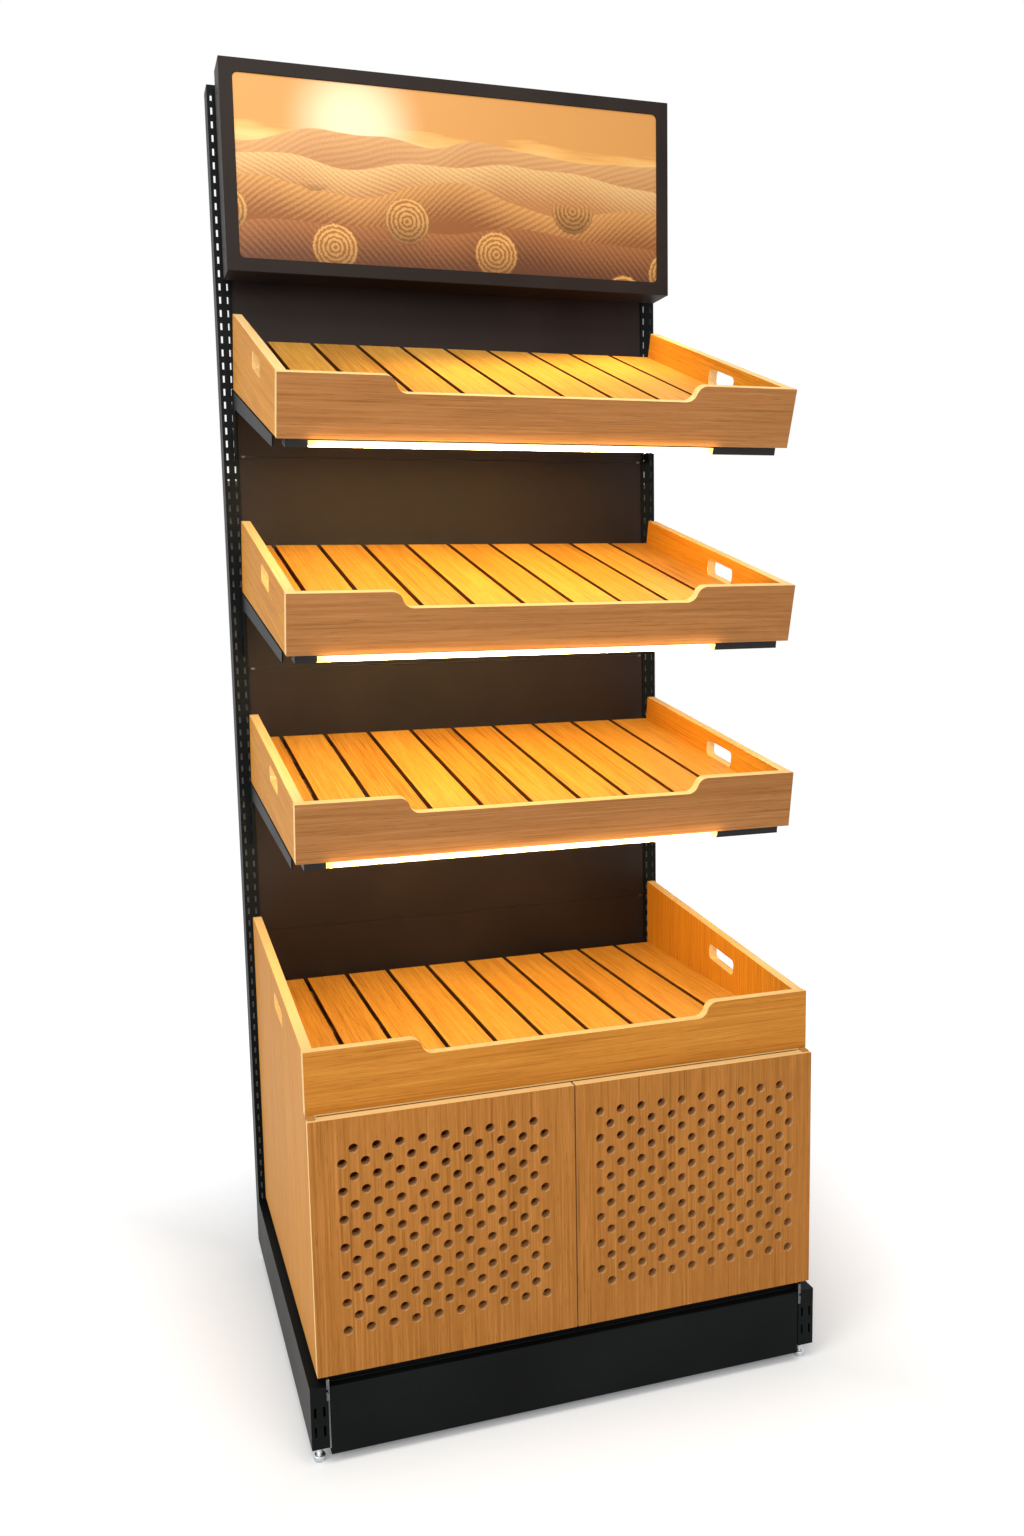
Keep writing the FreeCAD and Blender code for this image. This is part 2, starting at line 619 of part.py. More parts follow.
def bracket(side, start_y, start_z, angle):
    """A hooked bracket: tapered plate with a round-cornered root, inward flange and stop lug."""
    x = side * INNER_SLOT_X
    outer, inner = x + side * BRACKET_SHEET / 2, x - side * BRACKET_SHEET / 2
    top = -RUNNER_DROP - SEAT
    nose = BAR_SETBACK + BAR_DEPTH
    slope = math.radians(angle)
    rear_along = (FACE - start_y + top * math.sin(slope)) / math.cos(slope)

    def place(along, up):
        return tilted_point(start_y, start_z, angle, along, up)

    rear_top = place(rear_along, top)[1]
    root_bottom = rear_top - BRACKET_ROOT_HEIGHT
    root_front = FACE - BRACKET_ROOT_WIDTH
    low_front = place(nose, top - BRACKET_FRONT_DEPTH)
    low_rear = place(rear_along, top - BRACKET_REAR_DEPTH)
    share = (root_front - low_front[0]) / (low_rear[0] - low_front[0])
    apex = (root_front, low_front[1] + share * (low_rear[1] - low_front[1]))
    outline = [place(nose, top), (FACE, rear_top), (FACE, root_bottom), (root_front, root_bottom),
               apex, low_front]
    plate = rounded(prism_x(outline, inner, outer), 0, [apex], BRACKET_ROUND)

    flange_end = rear_along - BRACKET_ROOT_WIDTH
    flange = block(outer, outer - side * FLANGE_WIDTH, nose, flange_end, top - BRACKET_SHEET, top)
    tray_inner = side * (TRAY_WIDTH / 2 - BOARD - SEAT)
    lug = block(tray_inner, tray_inner - side * LUG_LENGTH, LUG_SETBACK, LUG_SETBACK + BRACKET_SHEET,
                top - BRACKET_SHEET, top + LUG_HEIGHT)
    shelf = tilted(joined(flange, lug), start_y, start_z, angle)
    highest = slot_bottom_below(rear_top)
    hooks = [slot_hook(x, highest - i * HOOK_STEP_COUNT * SLOT_PITCH) for i in range(HOOK_COUNT)]
    return joined(plate, shelf, *hooks)


def light_bar(start_y, start_z, angle):
    """Bar housing, rounded diffuser and lamp strip, made along the bracket noses and then tilted."""
    top = -RUNNER_DROP - SEAT
    y0, y1 = BAR_SETBACK, BAR_SETBACK + BAR_DEPTH
    x0, x1 = LIT_START - BAR_LENGTH / 2, BAR_LENGTH / 2 - LIT_END_GAP
    housing = block(-BAR_LENGTH / 2, BAR_LENGTH / 2, y0, y1, top - BAR_HEIGHT, top)
    channel_back, channel_top = y0 + DIFFUSER_DEPTH, top - BAR_TOP_WALL
    channel = block(x0, x1, y0 - OVERRUN, channel_back, top - BAR_HEIGHT - OVERRUN, channel_top)
    outer = block(x0, x1, y0, channel_back, top - BAR_HEIGHT, channel_top)
    outer = rounded(outer, 0, [(y0, top - BAR_HEIGHT)], DIFFUSER_ROUND)
    inner_y, inner_z = y0 + DIFFUSER_WALL, top - BAR_HEIGHT + DIFFUSER_WALL
    inner = block(x0 + DIFFUSER_WALL, x1 - DIFFUSER_WALL, inner_y, channel_back + OVERRUN,
                  inner_z, channel_top - DIFFUSER_WALL)
    inner = rounded(inner, 0, [(inner_y, inner_z)], DIFFUSER_ROUND - DIFFUSER_WALL)
    strip_z = (top - BAR_HEIGHT + channel_top) / 2
    strip = block(x0 + 2 * DIFFUSER_WALL, x1 - 2 * DIFFUSER_WALL,
                  channel_back - STRIP_THICKNESS, channel_back,
                  strip_z - STRIP_HEIGHT / 2, strip_z + STRIP_HEIGHT / 2)
    pieces = (housing.cut(channel), outer.cut(inner), strip)
    return [tilted(piece, start_y, start_z, angle) for piece in pieces]


def tray_supports():
    """Brackets and light bars, which follow each tray's lower edge."""
    strips = []
    for number, height, tilt in TRAYS:
        start_y, start_z = tilted_point(FACE - TRAY_REACH, height, tilt, 0, -TRAY_FRONT_HEIGHT)
        angle = tilt - TAPER_ANGLE
        brackets = [bracket(side, start_y, start_z, angle) for _, side in SIDE_SHARES]
        save("tray_%d_brackets" % number, *brackets)
        housing, diffuser, strip = light_bar(start_y, start_z, angle)
        save("light_bar_%d" % number, housing)
        save("light_diffuser_%d" % number, diffuser)
        strips.append(strip)
    save("light_strips", *strips)


def cabinet_side(side):
    """A cabinet side that rises past the deck to form the bin, with a sloping top and a handle slot."""
    outer = side * CABINET_WIDTH / 2
    inner = outer - side * BOARD
    rail_back = CARCASS_FRONT + BOARD
    outline = [(CARCASS_FRONT, CABINET_BOTTOM), (CABINET_BACK, CABINET_BOTTOM),
               (CABINET_BACK, BIN_BACK_TOP), (rail_back, BIN_FRONT_TOP),
               (rail_back, BIN_FRONT_BOTTOM), (CARCASS_FRONT, BIN_FRONT_BOTTOM)]
    board = prism_x(outline, outer, inner)
    slope = math.degrees(math.atan2(BIN_SIDE_RISE, CABINET_BACK - rail_back))
    cutter = handle_cutter(BIN_HANDLE_SETBACK - BOARD, -BIN_HANDLE_DROP, min(outer, inner) - OVERRUN,
                           max(outer, inner) + OVERRUN)
    board = board.cut(tilted(cutter, rail_back, BIN_FRONT_TOP, slope))
    mortises = [plate_leaf(side, end) for end in (-1, 1)]
    return board.cut(Part.makeCompound(mortises))


def plate_leaf(side, end):
    """The upright leaf of a door pivot, let into the front edge of the cabinet side."""
    x0 = side * (CABINET_WIDTH / 2 - SHEET)
    z0 = CABINET_BOTTOM if end < 0 else BIN_FRONT_BOTTOM - PLATE_HEIGHT
    return block(x0, x0 - side * PLATE_WIDTH, CARCASS_FRONT, CARCASS_FRONT + PLATE_THICKNESS,
                 z0, z0 + PLATE_HEIGHT)


def pivot_place(side):
    """Plan position of a door's pivot, near its outer back corner."""
    return side * (CABINET_WIDTH / 2 - PIVOT_INSET), DOOR_BACK - PIVOT_INSET


def pivot_plate(side, end):
    """A leaf with a tab that reaches over or under the door, and the pin on the tab."""
    x0 = side * (CABINET_WIDTH / 2 - SHEET)
    z0 = DOOR_BOTTOM - FIT - PLATE_THICKNESS if end < 0 else DOOR_TOP + FIT
    tab = block(x0, x0 - side * PLATE_WIDTH, CARCASS_FRONT + PLATE_THICKNESS, CARCASS_FRONT - TAB_LENGTH,
                z0, z0 + PLATE_THICKNESS)
    x, y = pivot_place(side)
    pin_z = z0 if end < 0 else z0 - PIN_LENGTH
    pin = Part.makeCylinder(PIN_RADIUS, PIN_LENGTH + PLATE_THICKNESS, Vector(x, y, pin_z), Z_AXIS)
    return joined(plate_leaf(side, end), tab, pin)


def pivot_bush(side, end):
    """A bush let into the end of a door, round the pivot pin."""
    x, y = pivot_place(side)
    z = DOOR_BOTTOM if end < 0 else DOOR_TOP - BUSH_HEIGHT
    bush = Part.makeCylinder(BUSH_RADIUS, BUSH_HEIGHT, Vector(x, y, z), Z_AXIS)
    bore = Part.makeCylinder(PIN_RADIUS + FIT, BUSH_HEIGHT + 2 * OVERRUN, Vector(x, y, z - OVERRUN), Z_AXIS)
    return bush.cut(bore)


def door_hole_places(side):
    """Centres of the staggered perforations, row by row from the top.

    On the left door every other row is one hole short. On the right door full rows step to and fro.
    """
    middle = side * (CABINET_WIDTH + DOOR_SPLIT) / 4
    room = (CABINET_WIDTH - DOOR_SPLIT - HOLE_PITCH) / 2 - 2 * (HOLE_SIDE_MARGIN + HOLE_RADIUS)
    columns = math.ceil(room / HOLE_PITCH)
    places = []
    for row in range(math.ceil((DOOR_HEIGHT - HOLE_TOP_MARGIN - HOLE_BOTTOM_MARGIN) / HOLE_ROW_PITCH)):
        z = DOOR_TOP - HOLE_TOP_MARGIN - row * HOLE_ROW_PITCH
        odd = row % 2
        count = columns if side > 0 or odd else columns - 1
        start = middle - (count - 1) * HOLE_PITCH / 2
        if side > 0:
            start += HOLE_PITCH / 4 if odd else -HOLE_PITCH / 4
        places += [(start + i * HOLE_PITCH, z) for i in range(count)]
    return places


def door(side):
    """A perforated overlay door with a rounded pivot edge and seats for its bushes and strike."""
    outer, inner = side * CABINET_WIDTH / 2, side * DOOR_SPLIT / 2
    front = DOOR_BACK - DOOR_THICKNESS
    corners = [Vector(x, front, z) for x, z in ((outer, DOOR_BOTTOM), (inner, DOOR_BOTTOM),
                                                (inner, DOOR_TOP), (outer, DOOR_TOP))]
    wires = [Part.makePolygon(corners + corners[:1])]
    for x, z in door_hole_places(side):
        wires.append(Part.Wire(Part.makeCircle(HOLE_RADIUS, Vector(x, front, z), Y_AXIS)))
    panel = Part.makeFace(wires, "Part::FaceMakerBullseye").extrude(Y_AXIS * DOOR_THICKNESS)
    panel = rounded(panel, 2, [(outer, DOOR_BACK)], PIVOT_INSET - FIT)
    x, y = pivot_place(side)
    depth = PIN_LENGTH + FIT
    seats = [Part.makeCylinder(BUSH_RADIUS, depth + OVERRUN, Vector(x, y, z), Z_AXIS)
             for z in (DOOR_BOTTOM - OVERRUN, DOOR_TOP - depth)]
    return panel.cut(Part.makeCompound(seats + [strike(side)]))


def latch_height():
    return CABINET_BOTTOM + BOARD + LATCH_HEIGHT / 2


def strike(side):
    """A thin steel plate let into the door's back where the latch plunger bears."""
    x, z = side * PLUNGER_OFFSET, latch_height()
    half = STRIKE_SIZE / 2
    return block(x - half, x + half, DOOR_BACK - STRIKE_THICKNESS, DOOR_BACK, z - half, z + half)


def push_latch():
    """A twin push latch on the cabinet floor, with one plunger for each door."""
    z = latch_height()
    y0 = CARCASS_FRONT + LATCH_SETBACK
    housing = block(-LATCH_WIDTH / 2, LATCH_WIDTH / 2, y0, y0 + LATCH_DEPTH,
                    z - LATCH_HEIGHT / 2, z + LATCH_HEIGHT / 2)
    tip = DOOR_BACK + SEAT
    bore_depth = PLUNGER_LENGTH - (y0 - tip) + PLUNGER_TRAVEL + SEAT
    for name, side in SIDE_SHARES:
        x = side * PLUNGER_OFFSET
        bore = Part.makeCylinder(PLUNGER_RADIUS + FIT, bore_depth + OVERRUN,
                                 Vector(x, y0 - OVERRUN, z), Y_AXIS)
        housing = housing.cut(bore)
        plunger = Part.makeCylinder(PLUNGER_RADIUS, PLUNGER_LENGTH, Vector(x, tip, z), Y_AXIS)
        tip_edges = [edge for edge in plunger.Edges if edge.BoundBox.YMax < tip + FIT]
        save("latch_plunger_" + name, plunger.makeFillet(PLUNGER_RADIUS / 2, tip_edges))
    save("latch_housing", housing)


def cabinet():
    """The base cabinet: sides, floor, back, bin front, lift-out slatted deck and its ledgers."""
    inner = CABINET_WIDTH / 2 - BOARD
    for name, side in SIDE_SHARES:
        save("cabinet_side_" + name, cabinet_side(side))
    save("cabinet_floor", block(-inner, inner, CARCASS_FRONT, CABINET_BACK,
                                CABINET_BOTTOM, CABINET_BOTTOM + BOARD))
    deck_under = BIN_DECK_TOP - SLAT_THICKNESS
    ledger_top = deck_under - BATTEN_HEIGHT
    save("cabinet_back", block(-inner, inner, CABINET_BACK - CABINET_BACK_THICKNESS, CABINET_BACK,
                               CABINET_BOTTOM + BOARD, ledger_top - LEDGER_HEIGHT))
    save("bin_front", scooped_board(CABINET_WIDTH, BIN_FRONT_BOTTOM, BIN_FRONT_TOP, CARCASS_FRONT))
    y0, y1 = CARCASS_FRONT + BOARD + SEAT, CABINET_BACK - DECK_END_GAP
    width = 2 * (inner - SEAT)
    pitch = (width + SLAT_GAP) / BIN_SLAT_COUNT
    save("bin_slats", *slats(width, y0, y1, BIN_DECK_TOP, pitch, 0))
    battens = []
    for share in BATTEN_SHARES:
        y = y0 + share * (y1 - y0)
        battens.append(block(-width / 2, width / 2, y - BATTEN_WIDTH / 2, y + BATTEN_WIDTH / 2,
                             ledger_top, deck_under))
    save("bin_battens", *battens)
    ledgers = [block(side * inner, side * (inner - LEDGER_WIDTH), y0, CABINET_BACK,
                     ledger_top - SEAT, ledger_top - LEDGER_HEIGHT) for _, side in SIDE_SHARES]
    save("bin_ledgers", *ledgers)


def doors():
    """Both doors with their bushes and strikes, and the pivot plates on the cabinet."""
    save("pivot_plates", *[pivot_plate(side, end) for _, side in SIDE_SHARES for end in (-1, 1)])
    for name, side in SIDE_SHARES:
        save("door_" + name, door(side))
        save("door_%s_fittings" % name, pivot_bush(side, -1), pivot_bush(side, 1), strike(side))


def frame():
    """Uprights, beams, panels and the base."""
    for name, side in SIDE_SHARES:
        save("upright_" + name, upright(side))
        save("base_leg_" + name, base_leg(side))
    save("rear_beams", *rear_beams())
    save("back_panels", *back_panels())
    save("panel_clips", *panel_clips())
    save("base_deck", base_deck())
    save("kick_plate", kick_plate())
    save("kick_hooks", *kick_hooks())
    for name, x, y in foot_places():
        save("foot_" + name, levelling_foot(x, y))
    save("foot_nuts", *[foot_nut(x, y) for _, x, y in foot_places()])


def main():
    os.makedirs("parts", exist_ok=True)
    frame()
    light_box()
    for number, height, tilt in TRAYS:
        tray(number, height, tilt)
    tray_supports()
    cabinet()
    doors()
    push_latch()


main()
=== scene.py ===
"""Looks of a bakery display shelf: coats, oak, lit bars, a back-lit print, small trim and the stage."""
import json
import math

import bpy
from bpy.props import FloatProperty, FloatVectorProperty, PointerProperty
from mathutils import Matrix, Vector


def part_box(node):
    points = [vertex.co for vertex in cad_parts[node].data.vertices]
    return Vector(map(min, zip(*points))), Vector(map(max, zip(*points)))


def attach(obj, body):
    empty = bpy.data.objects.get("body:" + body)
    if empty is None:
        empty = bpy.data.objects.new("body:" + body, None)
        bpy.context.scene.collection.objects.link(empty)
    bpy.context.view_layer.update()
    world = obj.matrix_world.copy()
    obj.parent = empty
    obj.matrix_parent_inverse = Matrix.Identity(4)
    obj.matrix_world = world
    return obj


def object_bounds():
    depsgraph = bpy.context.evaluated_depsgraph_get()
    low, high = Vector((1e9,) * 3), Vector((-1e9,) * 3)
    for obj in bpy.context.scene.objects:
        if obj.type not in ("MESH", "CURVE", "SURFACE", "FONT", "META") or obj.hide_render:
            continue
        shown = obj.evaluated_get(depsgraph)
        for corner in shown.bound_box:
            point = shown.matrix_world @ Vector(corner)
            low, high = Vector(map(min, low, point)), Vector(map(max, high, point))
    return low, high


bl_info = {
    "name": "Display Shelf Looks",
    "version": (1, 0, 0),
    "blender": (4, 5, 0),
    "location": "View3D > Sidebar > Shelf",
    "description": "Finishes, fasteners, lamps and stage for a bakery display shelf",
    "category": "Object",
}

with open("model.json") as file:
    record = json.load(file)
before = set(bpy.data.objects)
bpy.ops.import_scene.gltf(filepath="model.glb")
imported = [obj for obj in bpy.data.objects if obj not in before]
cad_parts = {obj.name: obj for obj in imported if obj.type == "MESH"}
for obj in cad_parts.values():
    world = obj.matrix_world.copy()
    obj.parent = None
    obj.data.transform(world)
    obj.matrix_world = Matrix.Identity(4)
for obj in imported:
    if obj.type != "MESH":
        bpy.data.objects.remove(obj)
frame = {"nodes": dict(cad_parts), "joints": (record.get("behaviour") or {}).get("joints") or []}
NODES = frame["nodes"]
CAD_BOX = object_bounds()

# Lengths are in metres, in the frame's own axes.
X, Y, Z = range(3)
TRAYS = (1, 2, 3)
SIDES = (("left", -1), ("right", 1))

# Slats of the trays and of the bin's deck
SLAT_PITCH = 0.090
SLAT_OFFSET = -0.021
BIN_SLAT_PITCH = 0.08754

# Thread on the bare length of a foot's stud
STUD_RADIUS = 0.005
THREAD_PITCH = 0.0015
THREAD_RISE = 0.0003
THREAD_LOW = 0.0105
THREAD_SETBACK = 0.0005
THREAD_STEPS = 20

# Thin trim: door edges and the lipping under the bin's front, both pale as a painted highlight, the
# uprights' liners, and a dark strip of painted shade over the kick plate
RIM_DEPTH = 0.0004
LIPPING_REACH = 0.4365
LIPPING_SETBACK = 0.0004
LIPPING_DEPTH = 0.016
LIPPING_HEIGHT = 0.0026
LINER_WIDTH = 0.022
LINER_BEHIND = 0.009
LINER_SHEET = 0.001
LINER_LOW = 0.10
SHADE_STRIP_LAP = 0.0015
SHADE_STRIP_CLEARANCE = 0.0002

# Screws: the radius and height of each head, and where it sits
PIVOT_HEAD = (0.0027, 0.0009)
PIVOT_SCREW_REACH = 0.444
PIVOT_SCREW_STEPS = (0.016, 0.034)
LATCH_HEAD = (0.003, 0.0016)
LATCH_SCREW_REACH = 0.033
LATCH_SCREW_SETBACK = 0.008
COVER_HEAD = (0.0035, 0.0018)
BOX_SCREW_INSET = 0.05
BAR_SCREW_REACH = 0.415
BAR_SCREW_DROP = 0.0065
BAR_SCREW_BACK = 0.008
# A head's outline as shares of its radius and height, and its hexagon socket
HEAD_SIDES = 24
HEAD_DOME = ((1.0, 0.0), (1.0, 0.35), (0.86, 0.75), (0.62, 1.0))
SOCKET_SHARE = 0.5
SOCKET_FLOOR = 0.4
HEXAGON_TURN = math.pi / 3

# The lower edge of a tray's side board is less steep than the tray, by the taper over its run.
TRAY_TAPER = 0.042
TRAY_TAPER_RUN = 0.610

# Soft edges
SEAM_REACH = 0.00001
SHARP_EDGE = math.radians(35)
SHARP_SCREW_EDGE = math.radians(40)

# Sizes in the finishes
PATCH_WIDTH, PATCH_LENGTH = 0.07, 0.4
SLAT_SHIFT = 9.0
PORE_DEPTH = 0.0005
COAT_PATCH = 0.2
GRIT_DEPTH = 0.0002
WIPE_WIDTH, WIPE_LENGTH = 0.0008, 0.02
MOULD_GRAIN = 0.0006
MOULD_DEPTH = 0.0001
CHIP_PITCH = 0.012
FROST = 0.006
TUBE_EVEN_REACH = 0.325
FLOOR_SPECK = 0.004
# Shares in the oak: how far a seed moves the figure, rings in the figure, and the level of the tones
SEED_STEPS = (1.0, 1.7, 2.3)
RINGS = 62.0
TONE_LEVEL = -0.09

# Oak tones from pores and dark fibres to pale fibres
# Painted light and shade on sawn faces: a pale highlight on edges and lipping, shade on the slats' gap
# walls, light on the door holes' walls
EDGE_HIGHLIGHT_TONES = [(0.3, "DDB16C"), (0.7, "F0D19A")]
GAP_SHADE_TONES = [(0.3, "3C220E"), (0.7, "5A3416")]
LIT_HOLE_TONES = [(0.3, "B08252"), (0.7, "D0A472")]
# Painted shade: a darker copy of the oak for tray fronts, bearers, battens and ledgers
SHADED_OAK_TONES = [(0.28, "744A26"), (0.42, "8E5F34"), (0.58, "9D6C40"), (0.74, "AE7C50")]
# Painted light: a lighter copy of the oak for the tray and cabinet sides and the cabinet floor and back
LIT_OAK_TONES = [(0.28, "955A18"), (0.42, "BA7A22"), (0.58, "CA8B2C"), (0.74, "D8A044")]
SLAT_TONES = [(0.28, "8A5820"), (0.42, "B98236"), (0.58, "CA9542"), (0.74, "D8A858")]
DOOR_TONES = [(0.28, "6E411A"), (0.42, "956028"), (0.58, "A97035"), (0.74, "BC844B")]
# Painted light: a brighter copy for the bin's upright front, which takes more light from above than the
# tipped tray fronts
LIT_BIN_TONES = [(0.28, "865016"), (0.42, "AB6E28"), (0.58, "BB7D31"), (0.74, "CA9147")]

# The print, measured from its middle
CLOUD_LENGTH, CLOUD_HEIGHT = 0.22, 0.028
SKY_LOW, SKY_HIGH = 0.02, 0.16
SUN_PLACE = (-0.20, 0.088, 0.0)
SUN_RADIUS, SUN_GLOW = 0.026, 0.15
STRAW = 0.004
FIELD_DEPTH = 0.11
RIDGE_BLUR = 0.002
BALE_PITCH = 0.165
BALE_FRAY = 0.006
BALES_BELOW, BALES_FULL = -0.020, -0.040
LAMP_REACH = 0.43
# Each field: ridge height, its rise and fall, length of its waves, start, colours, furrow pitch and slant
FIELDS = (
    (0.066, 0.026, 0.26, 1.3, "D9A66C", "B98150", 0.011, 0.30),
    (0.030, 0.034, 0.33, 4.1, "E8BE7E", "B57A45", 0.009, -0.55),
    (-0.030, 0.040, 0.40, 7.7, "D79C58", "8A5228", 0.012, 0.80),
    (-0.092, 0.040, 0.46, 9.4, "A86A3A", "54301D", 0.015, -1.10),
)

# Each studio light: name, place, the point it faces, size, the property that sets its power, colour
STUDIO_LAMPS = (
    ("Key, left", (-3.0, -1.9, 2.5), (0, -0.1, 1.1), (1.8, 2.4), "key_power", (1.0, 0.95, 0.87)),
    ("Top, front", (-0.3, -1.5, 3.4), (0, -0.3, 0.8), (2.0, 1.2), "top_power", (1.0, 0.95, 0.86)),
    ("Fill, front", (-1.0, -3.6, 2.7), (0, 0, 0.8), (1.6, 1.2), "fill_power", (1.0, 0.96, 0.90)),
)

# The shelf's own lamps: how far each stands off its piece, where it faces, its size and share of power
BAR_LAMP_BACK, BAR_LAMP_DROP = 0.004, 0.003
BAR_LAMP_AIM = Vector((0, 1.0, -0.2))
BAR_LAMP_HEIGHT = 0.012
SPILL_AHEAD, SPILL_DROP = 0.010, 0.006
SPILL_AIM = Vector((0, 1.0, 0.55))
SPILL_HEIGHT = 0.006
SPILL_SHARE = 0.04
GLOW_DROP = 0.01
GLOW_AIM = Vector((0, 0.12, -1.0))
GLOW_SIZE = (0.80, 0.40)
DOWN_RIGHT, DOWN_AHEAD, DOWN_DROP = 0.13, 0.18, 0.02
DOWN_AIM = Vector((0.05, -0.1, -1))
DOWN_SIZE = (0.66, 0.20)
DOWN_SHARE = 0.62
DOWN_SPREAD = 120

# The floor, with the distances from the shelf's box over which its painted glow grows and under which the
# glow is taken away
FLOOR_REACH = 9.0
FLOOR_LIFT_FROM, FLOOR_LIFT_TO = -0.05, 0.7
FLOOR_DARK_TO, FLOOR_CLEAR_FROM = -0.09, -0.02

CAMERA_PLACE = (-0.718, -2.324, 1.411)
CAMERA_YAW, CAMERA_PITCH, CAMERA_ROLL = 17.6, 7.5, 1.1
CAMERA_LENS = 30.02
CAMERA_SENSOR = 36.0


class ShelfWood(bpy.types.PropertyGroup):
    """Sizes in the oak's figure."""

    # Real fibres and pores are finer. These are as coarse as they need to be to show.
    fibre: FloatProperty(name="Fibre", description="Width of one visible fibre", default=0.0016,
                         unit="LENGTH")
    streak: FloatProperty(name="Streak", description="Width of one streak of grain", default=0.0042,
                          unit="LENGTH")
    pore: FloatProperty(name="Pore", description="Width of one open pore", default=0.0011, unit="LENGTH")
    figure: FloatProperty(name="Figure", description="Width of one flame in the grain", default=0.085,
                          unit="LENGTH")
    edge: FloatProperty(name="Edge", description="Rounding of sawn edges", default=0.0014, unit="LENGTH")


class ShelfMetal(bpy.types.PropertyGroup):
    """Sizes in the coats and plating."""

    grit: FloatProperty(name="Grit", description="Grain of the powder coat", default=0.0009,
                        unit="LENGTH")
    spangle: FloatProperty(name="Spangle", description="Size of a zinc crystal", default=0.004,
                           unit="LENGTH")
    edge: FloatProperty(name="Edge", description="Rounding of folded edges", default=0.0005,
                        unit="LENGTH")


class ShelfLight(bpy.types.PropertyGroup):
    """Lamps of the shelf and of the studio."""

    lamp_colour: FloatVectorProperty(name="Lamp colour", description="Colour of the shelf's lamps",
                                     subtype="COLOR", default=(1.0, 0.70, 0.28))
    lamp_power: FloatProperty(name="Lamp power", description="Power of one light bar", default=3.6,
                              unit="POWER")
    glow_colour: FloatVectorProperty(name="Glow colour", subtype="COLOR", default=(1.0, 0.63, 0.19),
                                     description="Colour of the light scattered in a bay")
    glow_power: FloatProperty(name="Glow power", description="Power of the light scattered in a bay",
                              default=2.6, unit="POWER")
    key_power: FloatProperty(name="Key power", description="Power of the soft light at the left",
                             default=54.0, unit="POWER")
    top_power: FloatProperty(name="Top power", description="Power of the soft light overhead",
                             default=46.0, unit="POWER")
    fill_power: FloatProperty(name="Fill power", description="Power of the soft light in front",
                              default=34.0, unit="POWER")
    daylight: FloatProperty(name="Daylight", description="Level of the light from all round",
                            default=0.36)


def linear(code):
    """An sRGB hex colour as linear red, green, blue and alpha."""
    parts = [int(code[i:i + 2], 16) / 255 for i in (0, 2, 4)]
    return [c / 12.92 if c <= 0.04045 else ((c + 0.055) / 1.055) ** 2.4 for c in parts] + [1.0]


def add(tree, kind, feeds=None, stops=(), **settings):
    """Add one node, set it up, and feed its sockets with values or with other nodes' sockets."""
    made = tree.nodes.new("ShaderNode" + kind)
    for key, value in settings.items():
        setattr(made, key, value)
    for socket, value in (feeds or {}).items():
        if isinstance(value, bpy.types.NodeSocket):
            tree.links.new(value, made.inputs[socket])
        else:
            made.inputs[socket].default_value = value
    if stops:
        ramp = made.color_ramp.elements
        ramp.remove(ramp[1])
        ramp[0].position, ramp[0].color = stops[0][0], linear(stops[0][1])
        for place, code in stops[1:]:
            ramp.new(place).color = linear(code)
    return made


def blank(name):
    """A new material with an empty tree, and its object coordinates in metres."""
    made = bpy.data.materials.new(name)
    made.use_nodes = True
    made.node_tree.nodes.clear()
    return made, made.node_tree, add(made.node_tree, "TexCoord").outputs["Object"]


def surface(tree, feeds):
    """Close a material's tree with one principled shader."""
    shader = add(tree, "BsdfPrincipled", feeds)
    add(tree, "OutputMaterial", {"Surface": shader.outputs[0]})


def grain_scale(axis, across, along):
    """Scale that makes a unit pattern this wide across the grain and this long along it."""
    scale = [1 / across] * 3
    scale[axis] = 1 / along
    return scale


